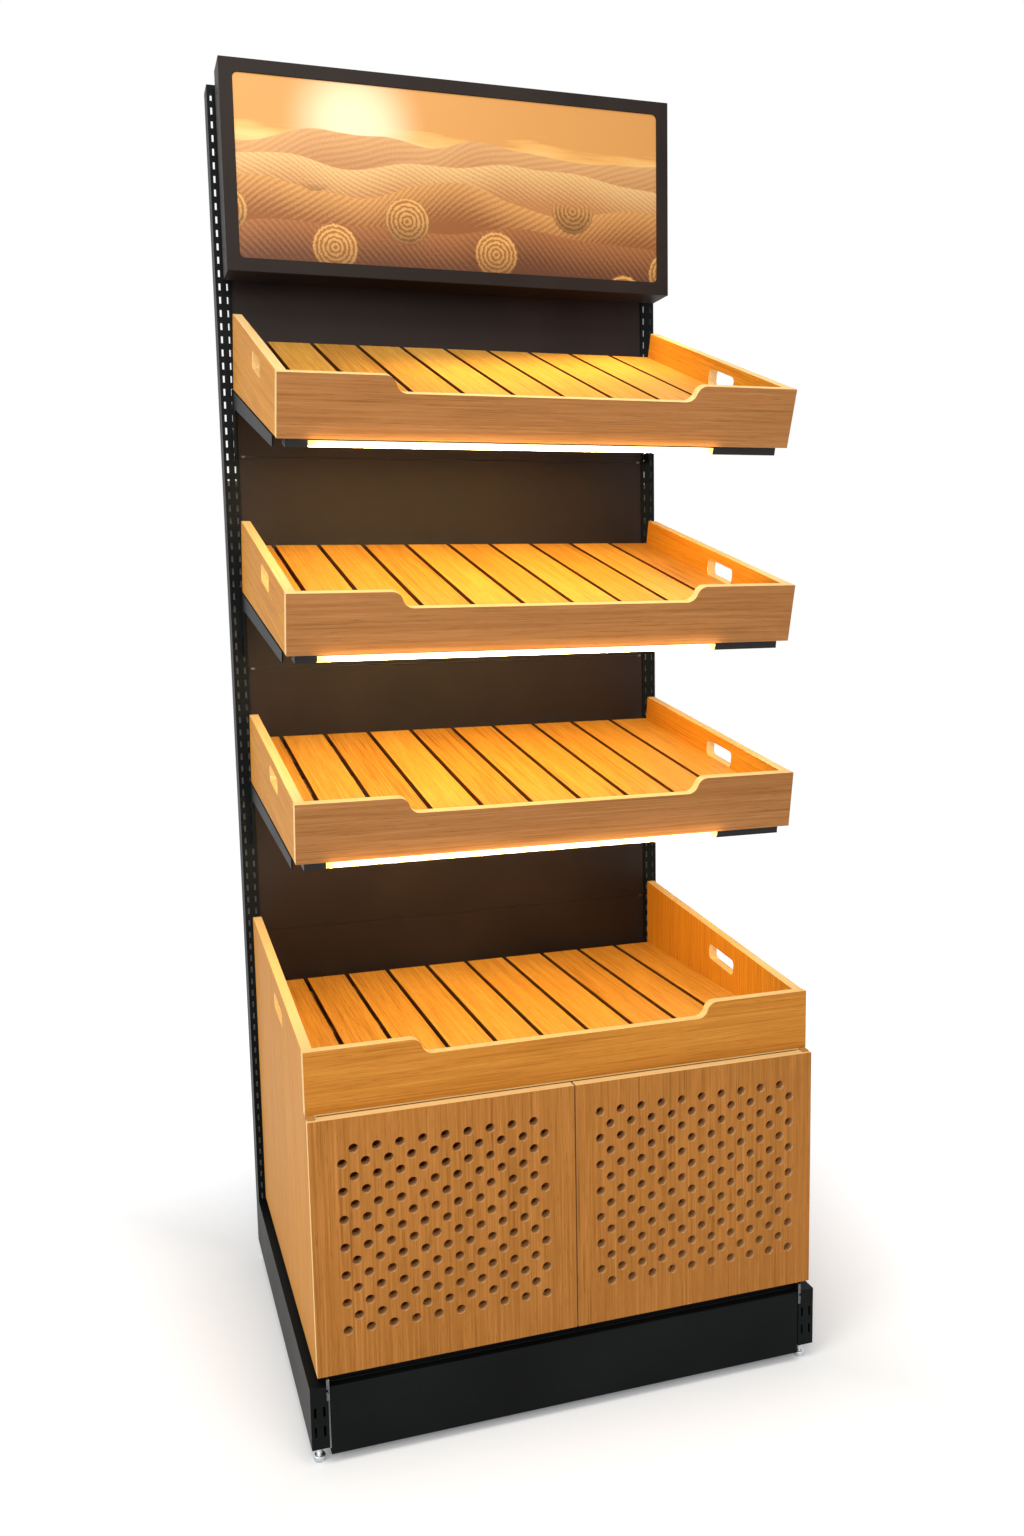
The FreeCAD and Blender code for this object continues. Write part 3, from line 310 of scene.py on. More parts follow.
def oak(name, axis, stops, tilt=0.0, seed=0.0, pitch=0.0, offset=0.0, thin=None, painted_edge_stops=EDGE_HIGHLIGHT_TONES):
    """Clear-coated oak with its grain along an axis. Slats set at a pitch each get their own tone and
    figure, and a board that is thin along an axis takes other tones at its sawn edges and holes, as
    painted light and shade: a pale painted highlight by default, painted shade on the slats' gap walls
    and painted light on the door holes' walls."""
    wood = bpy.context.scene.shelf_wood
    made, tree, place = blank(name)
    place = add(tree, "Mapping", {"Vector": place, "Rotation": (-tilt, 0, 0)}).outputs[0]
    tone = 0.5
    shift = [step * seed for step in SEED_STEPS]
    if pitch:
        across = add(tree, "SeparateXYZ", {0: place}).outputs["X"]
        number = add(tree, "Math", {0: across, 1: offset}, operation="SUBTRACT").outputs[0]
        number = add(tree, "Math", {0: number, 1: pitch}, operation="DIVIDE").outputs[0]
        number = add(tree, "Math", {0: number}, operation="FLOOR").outputs[0]
        number = add(tree, "Math", {0: number, 1: seed}, operation="ADD").outputs[0]
        chance = add(tree, "TexWhiteNoise", {"W": number}, noise_dimensions="1D")
        tone = chance.outputs["Value"]
        shift = add(tree, "VectorMath", {0: chance.outputs["Color"], "Scale": SLAT_SHIFT},
                    operation="SCALE").outputs[0]
    place = add(tree, "VectorMath", {0: place, 1: shift}, operation="ADD").outputs[0]

    # Each pattern: its width, its length along the grain, its detail and its roughness
    patterns = []
    for width, length, detail, rough in (
            (wood.figure, 11 * wood.figure, 1.5, 0.45),
            (wood.fibre, 90 * wood.fibre, 3.0, 0.65),
            (wood.pore, 30 * wood.pore, 1.0, 0.5),
            (wood.streak, 80 * wood.streak, 2.0, 0.6),
            (PATCH_WIDTH, PATCH_LENGTH, 2.0, 0.5)):
        scale = grain_scale(axis, width, length)
        scaled = add(tree, "Mapping", {"Vector": place, "Scale": scale}).outputs[0]
        patterns.append(add(tree, "TexNoise", {"Vector": scaled, "Scale": 1.0, "Detail": detail,
                                               "Roughness": rough}).outputs[0])
    figure, fibres, pores, streaks, patches = patterns

    # Growth rings are level lines of the slow figure, so they run as flames and close up at the edges.
    rings = add(tree, "Math", {0: figure, 1: RINGS}, operation="MULTIPLY").outputs[0]
    rings = add(tree, "Math", {0: rings}, operation="SINE").outputs[0]
    mixed = TONE_LEVEL
    weights = ((rings, 0.02), (fibres, 0.46), (streaks, 0.46), (patches, 0.10), (tone, 0.16))
    for pattern, weight in weights:
        mixed = add(tree, "Math", {0: pattern, 1: weight, 2: mixed}, operation="MULTIPLY_ADD").outputs[0]
    colour = add(tree, "ValToRGB", {0: mixed}, stops).outputs[0]
    pits = add(tree, "MapRange", {"Value": pores, "From Min": 0.58, "From Max": 0.76,
                                  "To Max": 0.55}).outputs[0]
    colour = add(tree, "Mix", {0: pits, 6: colour, 7: linear(stops[0][1])}, data_type="RGBA").outputs[2]
    # Sawn faces and hole walls take the painted edge tones, painted light and shade
    if thin is not None:
        normal = add(tree, "TexCoord").outputs["Normal"]
        facing = add(tree, "SeparateXYZ", {0: normal}).outputs["XYZ"[thin]]
        facing = add(tree, "Math", {0: facing}, operation="ABSOLUTE").outputs[0]
        sawn = add(tree, "MapRange", {"Value": facing, "From Min": 0.75, "From Max": 0.55}).outputs[0]
        painted_edge = add(tree, "ValToRGB", {0: fibres}, painted_edge_stops).outputs[0]
        colour = add(tree, "Mix", {0: sawn, 6: colour, 7: painted_edge}, data_type="RGBA").outputs[2]
    height = add(tree, "Math", {0: pits, 1: -0.6, 2: fibres}, operation="MULTIPLY_ADD").outputs[0]
    bump = add(tree, "Bump", {"Height": height, "Strength": 0.22, "Distance": PORE_DEPTH}).outputs[0]
    rough = add(tree, "MapRange", {"Value": fibres, "To Min": 0.40, "To Max": 0.56}).outputs[0]
    surface(tree, {"Base Color": colour, "Roughness": rough, "Normal": bump, "Specular IOR Level": 0.05,
                   "Coat Weight": 0.01, "Coat Roughness": 0.32})
    return made


def powder_coat(name, stops, gloss, rough):
    """Baked powder coat: slow tone change, orange-peel grit and a satin sheen."""
    metal = bpy.context.scene.shelf_metal
    made, tree, place = blank(name)
    slow = add(tree, "TexNoise", {"Vector": place, "Scale": 1 / COAT_PATCH, "Detail": 3.0}).outputs[0]
    grit = add(tree, "TexNoise", {"Vector": place, "Scale": 1 / metal.grit, "Detail": 2.0}).outputs[0]
    mixed = add(tree, "Math", {0: grit, 1: 0.5, 2: slow}, operation="MULTIPLY_ADD").outputs[0]
    mixed = add(tree, "Math", {0: mixed, 1: 0.25}, operation="SUBTRACT").outputs[0]
    colour = add(tree, "ValToRGB", {0: mixed}, stops).outputs[0]
    shine = add(tree, "MapRange", {"Value": slow, "To Min": rough - 0.05,
                                   "To Max": rough + 0.08}).outputs[0]
    bump = add(tree, "Bump", {"Height": grit, "Strength": 0.10, "Distance": GRIT_DEPTH}).outputs[0]
    surface(tree, {"Base Color": colour, "Roughness": shine, "Normal": bump, "Specular IOR Level": gloss})
    return made


def zinc_plate(name, stops):
    """Zinc plate with faint crystals and wiping marks."""
    metal = bpy.context.scene.shelf_metal
    made, tree, place = blank(name)
    cells = add(tree, "TexVoronoi", {"Vector": place, "Scale": 1 / metal.spangle}).outputs["Color"]
    scale = grain_scale(X, WIPE_WIDTH, WIPE_LENGTH)
    wipe = add(tree, "Mapping", {"Vector": place, "Scale": scale}).outputs[0]
    wipe = add(tree, "TexNoise", {"Vector": wipe, "Scale": 1.0, "Detail": 2.0}).outputs[0]
    mixed = add(tree, "Math", {0: cells, 1: 0.4, 2: wipe}, operation="MULTIPLY_ADD").outputs[0]
    colour = add(tree, "ValToRGB", {0: mixed}, stops).outputs[0]
    shine = add(tree, "MapRange", {"Value": mixed, "To Min": 0.22, "To Max": 0.40}).outputs[0]
    surface(tree, {"Base Color": colour, "Metallic": 1.0, "Roughness": shine})
    return made


def dark_moulding_and_shade(name, stops):
    """Dark moulding, and the dark strip of painted shade over the kick plate, with a matt grain drawn
    coarser than the real one so that it shows.
    """
    made, tree, place = blank(name)
    grain = add(tree, "TexNoise", {"Vector": place, "Scale": 1 / MOULD_GRAIN, "Detail": 2.0}).outputs[0]
    colour = add(tree, "ValToRGB", {0: grain}, stops).outputs[0]
    bump = add(tree, "Bump", {"Height": grain, "Strength": 0.2, "Distance": MOULD_DEPTH}).outputs[0]
    surface(tree, {"Base Color": colour, "Roughness": 0.55, "Normal": bump, "Specular IOR Level": 0.3})
    return made


def lamp_board(name):
    """White circuit board with rows of yellow lamp chips."""
    made, tree, place = blank(name)
    cells = add(tree, "TexVoronoi", {"Vector": place, "Scale": 1 / CHIP_PITCH, "Randomness": 0.0})
    colour = add(tree, "ValToRGB", {0: cells.outputs["Distance"]},
                 [(0.18, "F2C84B"), (0.24, "F3F3EE"), (0.9, "E4E4DE")]).outputs[0]
    surface(tree, {"Base Color": colour, "Roughness": 0.5})
    return made


def frosted_tube(name):
    """Frosted cover lit from inside, a little warmer in patches and toward its ends."""
    made, tree, place = blank(name)
    across = add(tree, "SeparateXYZ", {0: place}).outputs["X"]
    low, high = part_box("light_diffuser_1")
    centred = add(tree, "Math", {0: across, 1: (low.x + high.x) / 2}, operation="SUBTRACT").outputs[0]
    out = add(tree, "Math", {0: centred}, operation="ABSOLUTE").outputs[0]
    end = add(tree, "MapRange", {"Value": out, "From Min": TUBE_EVEN_REACH,
                                 "From Max": (high.x - low.x) / 2}).outputs[0]
    frost = add(tree, "TexNoise", {"Vector": place, "Scale": 1 / FROST, "Detail": 1.0}).outputs[0]
    mixed = add(tree, "Math", {0: frost, 1: 0.25, 2: end}, operation="MULTIPLY_ADD").outputs[0]
    colour = add(tree, "ValToRGB", {0: mixed},
                 [(0.0, "FFF1CE"), (0.5, "FFE3A4"), (1.0, "FFC870")]).outputs[0]
    surface(tree, {"Base Color": colour, "Roughness": 0.6, "Emission Color": colour,
                   "Emission Strength": 1.35})
    return made


def harvest_print(name):
    """Back-lit print made up for this shelf: low sun, rolling fields with furrows, and round bales."""
    made, tree, place = blank(name)
    low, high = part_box("lightbox_picture")
    parts = add(tree, "SeparateXYZ", {0: place})
    across = parts.outputs["X"]
    up = add(tree, "Math", {0: parts.outputs["Z"], 1: (low.z + high.z) / 2},
             operation="SUBTRACT").outputs[0]
    flat = add(tree, "CombineXYZ", {"X": across, "Y": up}).outputs[0]

    # A banded sky that pales round the sun
    stretch = (1 / CLOUD_LENGTH, 1 / CLOUD_HEIGHT, 1.0)
    clouds = add(tree, "Mapping", {"Vector": flat, "Scale": stretch}).outputs[0]
    clouds = add(tree, "TexNoise", {"Vector": clouds, "Scale": 1.0, "Detail": 4.0}).outputs[0]
    level = add(tree, "MapRange", {"Value": up, "From Min": SKY_LOW, "From Max": SKY_HIGH}).outputs[0]
    level = add(tree, "Math", {0: clouds, 1: 0.9, 2: level}, operation="MULTIPLY_ADD").outputs[0]
    colour = add(tree, "ValToRGB", {0: level}, [(0.3, "FBE2A6"), (0.6, "F6CC82"), (0.85, "E9AE5E"),
                                                (1.3 / 1.4, "D89A52")]).outputs[0]
    away = add(tree, "VectorMath", {0: flat, 1: SUN_PLACE}, operation="DISTANCE").outputs["Value"]
    glow = add(tree, "MapRange", {"Value": away, "From Min": SUN_RADIUS, "From Max": SUN_GLOW,
                                  "To Min": 1.0, "To Max": 0.0},
               interpolation_type="SMOOTHSTEP").outputs[0]
    colour = add(tree, "Mix", {0: glow, 6: colour, 7: linear("FFE8BC")}, data_type="RGBA").outputs[2]

    # Fields from the farthest to the nearest, each in front of the last
    for height, rise, wave, start, near, deep, furrow, slant in FIELDS:
        walk = add(tree, "Math", {0: across, 1: 1 / wave, 2: start}, operation="MULTIPLY_ADD").outputs[0]
        ridge = add(tree, "TexNoise", {"W": walk, "Scale": 1.0, "Detail": 1.0},
                    noise_dimensions="1D").outputs[0]
        ridge = add(tree, "MapRange", {"Value": ridge, "From Min": 0.2, "From Max": 0.8,
                                       "To Min": height - rise, "To Max": height + rise}).outputs[0]
        under = add(tree, "Math", {0: ridge, 1: up}, operation="SUBTRACT").outputs[0]
        row = add(tree, "Math", {0: across, 1: slant, 2: under}, operation="MULTIPLY_ADD").outputs[0]
        row = add(tree, "Math", {0: row, 1: 2 * math.pi / furrow}, operation="MULTIPLY").outputs[0]
        row = add(tree, "Math", {0: row}, operation="SINE").outputs[0]
        straw = add(tree, "TexNoise", {"Vector": flat, "Scale": 1 / STRAW, "Detail": 3.0}).outputs[0]
        depth = add(tree, "Math", {0: under, 1: 1 / FIELD_DEPTH}, operation="MULTIPLY").outputs[0]
        depth = add(tree, "Math", {0: row, 1: 0.13, 2: depth}, operation="MULTIPLY_ADD").outputs[0]
        depth = add(tree, "Math", {0: straw, 1: 0.5, 2: depth}, operation="MULTIPLY_ADD").outputs[0]
        field = add(tree, "ValToRGB", {0: depth}, [(0.15, near), (0.85, deep)]).outputs[0]
        inside = add(tree, "MapRange", {"Value": under, "From Max": RIDGE_BLUR}).outputs[0]
        colour = add(tree, "Mix", {0: inside, 6: colour, 7: field}, data_type="RGBA").outputs[2]

    # Large bales stand on the two nearer fields: wound straw, light above and shade below.
    spaced = add(tree, "VectorMath", {0: flat, "Scale": 1 / BALE_PITCH}, operation="SCALE").outputs[0]
    bales = add(tree, "TexVoronoi", {"Vector": spaced, "Scale": 1.0, "Randomness": 0.8},
                voronoi_dimensions="2D")
    away = bales.outputs["Distance"]
    frayed = add(tree, "TexNoise", {"Vector": flat, "Scale": 1 / BALE_FRAY, "Detail": 4.0}).outputs[0]
    frayed = add(tree, "Math", {0: frayed, 1: 0.06, 2: away}, operation="MULTIPLY_ADD").outputs[0]
    wound = add(tree, "Math", {0: frayed, 1: 120.0}, operation="MULTIPLY").outputs[0]
    wound = add(tree, "Math", {0: wound}, operation="SINE").outputs[0]
    wound = add(tree, "MapRange", {"Value": wound, "From Min": -1.0}).outputs[0]
    bale = add(tree, "ValToRGB", {0: wound}, [(0.2, "A66A30"), (0.8, "DDA860")]).outputs[0]
    drop = add(tree, "VectorMath", {0: spaced, 1: bales.outputs["Position"]},
               operation="SUBTRACT").outputs[0]
    drop = add(tree, "SeparateXYZ", {0: drop}).outputs["Y"]
    shade = add(tree, "MapRange", {"Value": drop, "From Min": 0.16, "From Max": -0.30,
                                   "To Max": 0.85}).outputs[0]
    bale = add(tree, "Mix", {0: shade, 6: bale, 7: linear("4A2A14")}, data_type="RGBA").outputs[2]
    inside = add(tree, "MapRange", {"Value": frayed, "From Min": 0.305, "From Max": 0.29}).outputs[0]
    band = add(tree, "MapRange", {"Value": up, "From Min": BALES_BELOW,
                                  "From Max": BALES_FULL}).outputs[0]
    inside = add(tree, "Math", {0: inside, 1: band}, operation="MULTIPLY").outputs[0]
    colour = add(tree, "Mix", {0: inside, 6: colour, 7: bale}, data_type="RGBA").outputs[2]

    # The lamps behind the print are weaker toward the right.
    lamps = add(tree, "MapRange", {"Value": across, "From Min": -LAMP_REACH, "From Max": LAMP_REACH,
                                   "To Min": 0.95, "To Max": 0.62}).outputs[0]
    ink = add(tree, "Mix", {0: 0.75, 6: colour, 7: linear("3A2414")}, data_type="RGBA").outputs[2]
    surface(tree, {"Base Color": ink, "Roughness": 0.3, "Specular IOR Level": 0.2,
                   "Emission Color": colour, "Emission Strength": lamps})
    return made


def dress(material, *names):
    """Give CAD nodes a material."""
    for name in names:
        data = NODES[name].data
        data.materials.clear()
        data.materials.append(material)


def soften(width, *names):
    """Round the sharp edges of CAD nodes a little, so that they catch the light."""
    for name in names:
        node = NODES[name]
        weld = node.modifiers.new("Close seams", "WELD")
        weld.merge_threshold = SEAM_REACH
        bevel = node.modifiers.new("Soft edges", "BEVEL")
        bevel.width = width
        bevel.segments = 2
        bevel.limit_method = "ANGLE"
        bevel.angle_limit = SHARP_EDGE
        bevel.loop_slide = False
        bevel.face_strength_mode = "FSTR_AFFECTED"
        normals = node.modifiers.new("Flat faces", "WEIGHTED_NORMAL")
        normals.keep_sharp = False
        normals.use_face_influence = True


def piece(name, points, faces, material, body):
    """A small visual piece that rides on a CAD body."""
    mesh = bpy.data.meshes.new(name)
    mesh.from_pydata(points, [], faces)
    mesh.materials.append(material)
    made = bpy.data.objects.new(name, mesh)
    bpy.context.scene.collection.objects.link(made)
    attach(made, body)
    return made


def slab(name, low, high, material):
    """A plain strip on the shelf's fixed body, from corner to corner."""
    points = [(x, y, z) for x in (low[0], high[0]) for y in (low[1], high[1]) for z in (low[2], high[2])]
    faces = [(0, 1, 3, 2), (4, 6, 7, 5), (0, 4, 5, 1), (2, 3, 7, 6), (0, 2, 6, 4), (1, 5, 7, 3)]
    piece(name, points, faces, material, "shelf")


def screw_shape(radius, height):
    """Rings and faces of a domed screw head with a hexagon socket, standing on the XY plane."""

    def ring(size, z, hexagon=False):
        points = []
        half = HEXAGON_TURN / 2
        for i in range(HEAD_SIDES):
            turn = 2 * math.pi * i / HEAD_SIDES
            wedge = (turn + half) % HEXAGON_TURN - half
            reach = size * math.cos(half) / math.cos(wedge) if hexagon else size
            points.append(Vector((reach * math.cos(turn), reach * math.sin(turn), z)))
        return points

    rings = [ring(out * radius, up * height) for out, up in HEAD_DOME]
    rings += [ring(SOCKET_SHARE * radius, up * height, True) for up in (1.0, SOCKET_FLOOR)]
    points = [point for each in rings for point in each]
    faces = []
    for k in range(len(rings) - 1):
        for i in range(HEAD_SIDES):
            a, b = k * HEAD_SIDES + i, k * HEAD_SIDES + (i + 1) % HEAD_SIDES
            faces.append((a, b, b + HEAD_SIDES, a + HEAD_SIDES))
    faces.append(tuple(range(len(points) - HEAD_SIDES, len(points))))
    return points, faces


def tray_tilt(number):
    """Tilt of a tray in radians, from the direction in which it lifts."""
    lift = next(joint for joint in frame["joints"] if joint["name"] == "tray_%d_lift" % number)
    return math.atan2(-lift["axis"][1], lift["axis"][2])


class SHELF_OT_coat_steel(bpy.types.Operator):
    """Powder-coat the frame, the brackets and the base, and set in the liners and a dark strip of painted
    shade over the kick plate
    """

    bl_idname = "shelf.coat_steel"
    bl_label = "Coat steel"

    def execute(self, context):
        # Satin black frame
        black = powder_coat("Satin black powder coat", [(0.2, "090B0C"), (0.8, "141718")], 0.06, 0.42)
        brackets = ["tray_%d_brackets" % n for n in TRAYS]
        dress(black, "upright_left", "upright_right", "rear_beams", "base_leg_left", "base_leg_right",
              "base_deck", "kick_plate", "lightbox_hooks", *brackets)
        soften(context.scene.shelf_metal.edge, "kick_plate", *brackets)
        # The primed liner that stiffens the loaded length of each upright shows grey through its slots
        primer = powder_coat("Grey zinc primer", [(0.2, "8A8C8A"), (0.8, "A0A29F")], 0.1, 0.6)
        liner_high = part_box("tray_1_brackets")[0].z
        for side, _ in SIDES:
            low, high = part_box("upright_" + side)
            middle, behind = (low.x + high.x) / 2, low.y + LINER_BEHIND
            slab("upright_liner_" + side, (middle - LINER_WIDTH / 2, behind, LINER_LOW),
                 (middle + LINER_WIDTH / 2, behind + LINER_SHEET, liner_high), primer)
        # A dark strip of painted shade closes the gap between the kick plate's upper fold and the deck
        shade_strip = dark_moulding_and_shade("Black sealing foam", [(0.3, "0D0E0F"), (0.7, "17191A")])
        plate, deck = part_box("kick_plate"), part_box("base_deck")
        slab("kick_seal", (plate[0].x, plate[1].y - SHADE_STRIP_LAP, plate[1].z + SHADE_STRIP_CLEARANCE),
             (plate[1].x, deck[0].y + SHADE_STRIP_LAP, deck[0].z - SHADE_STRIP_CLEARANCE), shade_strip)
        # Brown-black back panels
        panels = powder_coat("Brown-black panel coat", [(0.2, "17110F"), (0.8, "281E1B")], 0.16, 0.46)
        dress(panels, "back_panels")
        return {"FINISHED"}


class SHELF_OT_plate_zinc(bpy.types.Operator):
    """Zinc-plate the feet, nuts, straps, clips and door fittings, and thread the feet"""

    bl_idname = "shelf.plate_zinc"
    bl_label = "Plate zinc"

    def execute(self, context):
        # Bright zinc, and a darker copy of it for the pressed straps and clips
        zinc = zinc_plate("Bright zinc plate", [(0.3, "B4BAC0"), (0.9, "DADDE0")])
        darker_zinc = zinc_plate("Dull zinc plate", [(0.3, "34373A"), (0.9, "6C7074")])
        feet = ["foot_%s_%s" % (end, side) for end in ("front", "rear") for side, _ in SIDES]
        dress(zinc, "foot_nuts", "door_left_fittings", "door_right_fittings", *feet)
        dress(darker_zinc, "kick_hooks", "panel_clips")
        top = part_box("base_leg_left")[0].z - THREAD_SETBACK
        for foot in feet:
            low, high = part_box(foot)
            self.thread(foot, (low + high) / 2, top, zinc)
        return {"FINISHED"}

    def thread(self, foot, middle, top, zinc):
        """A ridge wound round the bare length of a foot's stud."""
        root, crest = STUD_RADIUS - THREAD_RISE, STUD_RADIUS + THREAD_RISE
        profile = ((root, 0.0), (crest, THREAD_PITCH / 2), (root, THREAD_PITCH))
        count = int((top - THREAD_LOW - THREAD_PITCH) / THREAD_PITCH * THREAD_STEPS)
        points, faces = [], []
        for i in range(count):
            turn = 2 * math.pi * i / THREAD_STEPS
            z = THREAD_LOW + THREAD_PITCH * i / THREAD_STEPS
            for reach, rise in profile:
                x, y = middle.x + reach * math.cos(turn), middle.y + reach * math.sin(turn)
                points.append((x, y, z + rise))
            if i:
                for k in (0, 1):
                    a = 3 * (i - 1) + k
                    faces.append((a, a + 3, a + 4, a + 1))
        piece(foot + "_thread", points, faces, zinc, foot)


class SHELF_OT_finish_trays(bpy.types.Operator):
    """Oak for the trays: fronts, sides, slats, and the bearers under them"""

    bl_idname = "shelf.finish_trays"
    bl_label = "Finish trays"

    def execute(self, context):
        for n in TRAYS:
            tilt = tray_tilt(n)
            # Oak boards of one tray, each kind with its own cut and tones. The side boards take the lit
            # copy of the oak, painted light, and the front board and bearers take the shaded copy,
            # painted shade. The slats' gap walls take painted shade.
            front = oak("Oak front board, tray %d" % n, X, SHADED_OAK_TONES, tilt, 3.1 * n, thin=Y)
            sides = oak("Oak side boards, tray %d" % n, Y, LIT_OAK_TONES, tilt, 5.3 * n, thin=X)
            slats = oak("Oak slats, tray %d" % n, Y, SLAT_TONES, tilt, 7.0 * n, SLAT_PITCH, SLAT_OFFSET,
                        thin=Z, painted_edge_stops=GAP_SHADE_TONES)
            bearers = oak("Oak bearers, tray %d" % n, X, SHADED_OAK_TONES, tilt, 9.7 * n)
            dress(front, "tray_%d_front" % n)
            dress(sides, "tray_%d_sides" % n)
            dress(slats, "tray_%d_slats" % n)
            dress(bearers, "tray_%d_bearers" % n)
            soften(context.scene.shelf_wood.edge, "tray_%d_front" % n, "tray_%d_sides" % n,
                   "tray_%d_slats" % n)
        return {"FINISHED"}


class SHELF_OT_finish_cabinet(bpy.types.Operator):
    """Oak for the cabinet, the bin and its lift-out deck"""

    bl_idname = "shelf.finish_cabinet"
    bl_label = "Finish cabinet"

    def execute(self, context):
        # Upright grain on the sides, level grain on front, floor, back and ledgers. Sides, floor and back
        # take the lit copy of the oak and the bin front a brighter one, painted light; battens and
        # ledgers take the shaded copy, painted shade.
        sides = oak("Oak cabinet sides", Z, LIT_OAK_TONES, seed=2.2, thin=X)
        dress(sides, "cabinet_side_left", "cabinet_side_right")
        dress(oak("Oak cabinet floor and back", X, LIT_OAK_TONES, seed=4.4), "cabinet_floor", "cabinet_back")
        dress(oak("Oak bin front", X, LIT_BIN_TONES, seed=6.6, thin=Y), "bin_front")
        # The bin slats' gap walls take painted shade
        slats = oak("Oak bin slats", Y, SLAT_TONES, seed=31.0, pitch=BIN_SLAT_PITCH, thin=Z,
                    painted_edge_stops=GAP_SHADE_TONES)
        dress(slats, "bin_slats")
        dress(oak("Oak bin battens and ledgers", X, SHADED_OAK_TONES, seed=8.8), "bin_battens", "bin_ledgers")
        soften(context.scene.shelf_wood.edge, "cabinet_side_left", "cabinet_side_right", "bin_front",
               "bin_slats")
        # A thin lipping under the bin's front closes the view over the doors; its pale tone is a painted
        # highlight
        low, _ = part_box("bin_front")
        lipping = oak("Oak lipping", X, EDGE_HIGHLIGHT_TONES, seed=1.1)
        slab("bin_front_lipping", (-LIPPING_REACH, low.y + LIPPING_SETBACK, low.z - LIPPING_HEIGHT),
             (LIPPING_REACH, low.y + LIPPING_DEPTH, low.z), lipping)
        return {"FINISHED"}


class SHELF_OT_finish_doors(bpy.types.Operator):
    """Upright-grained oak for the perforated doors, and lacquer for their pivot plates"""

    bl_idname = "shelf.finish_doors"
    bl_label = "Finish doors"

    def execute(self, context):
        lipping = oak("Oak door lipping", X, EDGE_HIGHLIGHT_TONES, seed=1.9)
        # Pivot plates lacquered in the oak's tone
        lacquer = powder_coat("Oak-toned lacquer", [(0.2, "A8763A"), (0.8, "C08E50")], 0.12, 0.5)
        dress(lacquer, "pivot_plates")
        # One board of veneer for each door
        for i, (side, sign) in enumerate(SIDES):
            # The walls of the door's holes are paler, painted light
            veneer = oak("Oak door, " + side, Z, DOOR_TONES, seed=12.0 + 5.0 * i, thin=Y,
                         painted_edge_stops=LIT_HOLE_TONES)
            dress(veneer, "door_" + side)
            soften(0.75 * context.scene.shelf_wood.edge, "door_" + side)
            # The lipped top and outer edges take the same pale painted highlight as the other boards'
            # edges
            mesh = NODES["door_" + side].data
            mesh.materials.append(lipping)
            low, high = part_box("door_" + side)
            outer = low.x if sign < 0 else high.x
            for face in mesh.polygons:
                rim = min(abs(face.center.x - outer), high.z - face.center.z)
                face.material_index = 1 if rim < RIM_DEPTH else 0
        return {"FINISHED"}


class SHELF_OT_finish_light_box(bpy.types.Operator):
    """Coat the light box and set the back-lit print, lamps and driver in it"""

    bl_idname = "shelf.finish_light_box"
    bl_label = "Finish light box"

    def execute(self, context):
        # Charcoal bezel and shell
        charcoal = powder_coat("Charcoal light-box coat", [(0.2, "1B1614"), (0.8, "28211E")], 0.09, 0.45)
        dress(charcoal, "lightbox_bezel", "lightbox_housing")
        soften(2 * context.scene.shelf_metal.edge, "lightbox_bezel", "lightbox_housing")
        # Lit print, white lamp boards and the driver's dark case
        dress(harvest_print("Back-lit harvest print"), "lightbox_picture")
        dress(lamp_board("White lamp board"), "lightbox_lamps", "light_strips")
        case = dark_moulding_and_shade("Driver case moulding", [(0.3, "1E2022"), (0.7, "2B2D30")])
        dress(case, "lightbox_driver")
        return {"FINISHED"}


class SHELF_OT_finish_light_bars(bpy.types.Operator):
    """Coat the light bars and light their frosted covers"""

    bl_idname = "shelf.finish_light_bars"
    bl_label = "Finish light bars"

    def execute(self, context):
        # Black bar housings and lit covers
        bar = powder_coat("Light bar coat", [(0.2, "0E0D0D"), (0.8, "1D1A19")], 0.22, 0.40)
        dress(bar, *["light_bar_%d" % n for n in TRAYS])
        dress(frosted_tube("Frosted lit cover"), *["light_diffuser_%d" % n for n in TRAYS])
        return {"FINISHED"}


class SHELF_OT_finish_latches(bpy.types.Operator):
    """Mould the push latch and its plungers"""

    bl_idname = "shelf.finish_latches"
    bl_label = "Finish latches"

    def execute(self, context):
        # Dark latch moulding
        plastic = dark_moulding_and_shade("Latch moulding", [(0.3, "37393C"), (0.7, "4A4D50")])
        dress(plastic, "latch_housing", "latch_plunger_left", "latch_plunger_right")
        return {"FINISHED"}


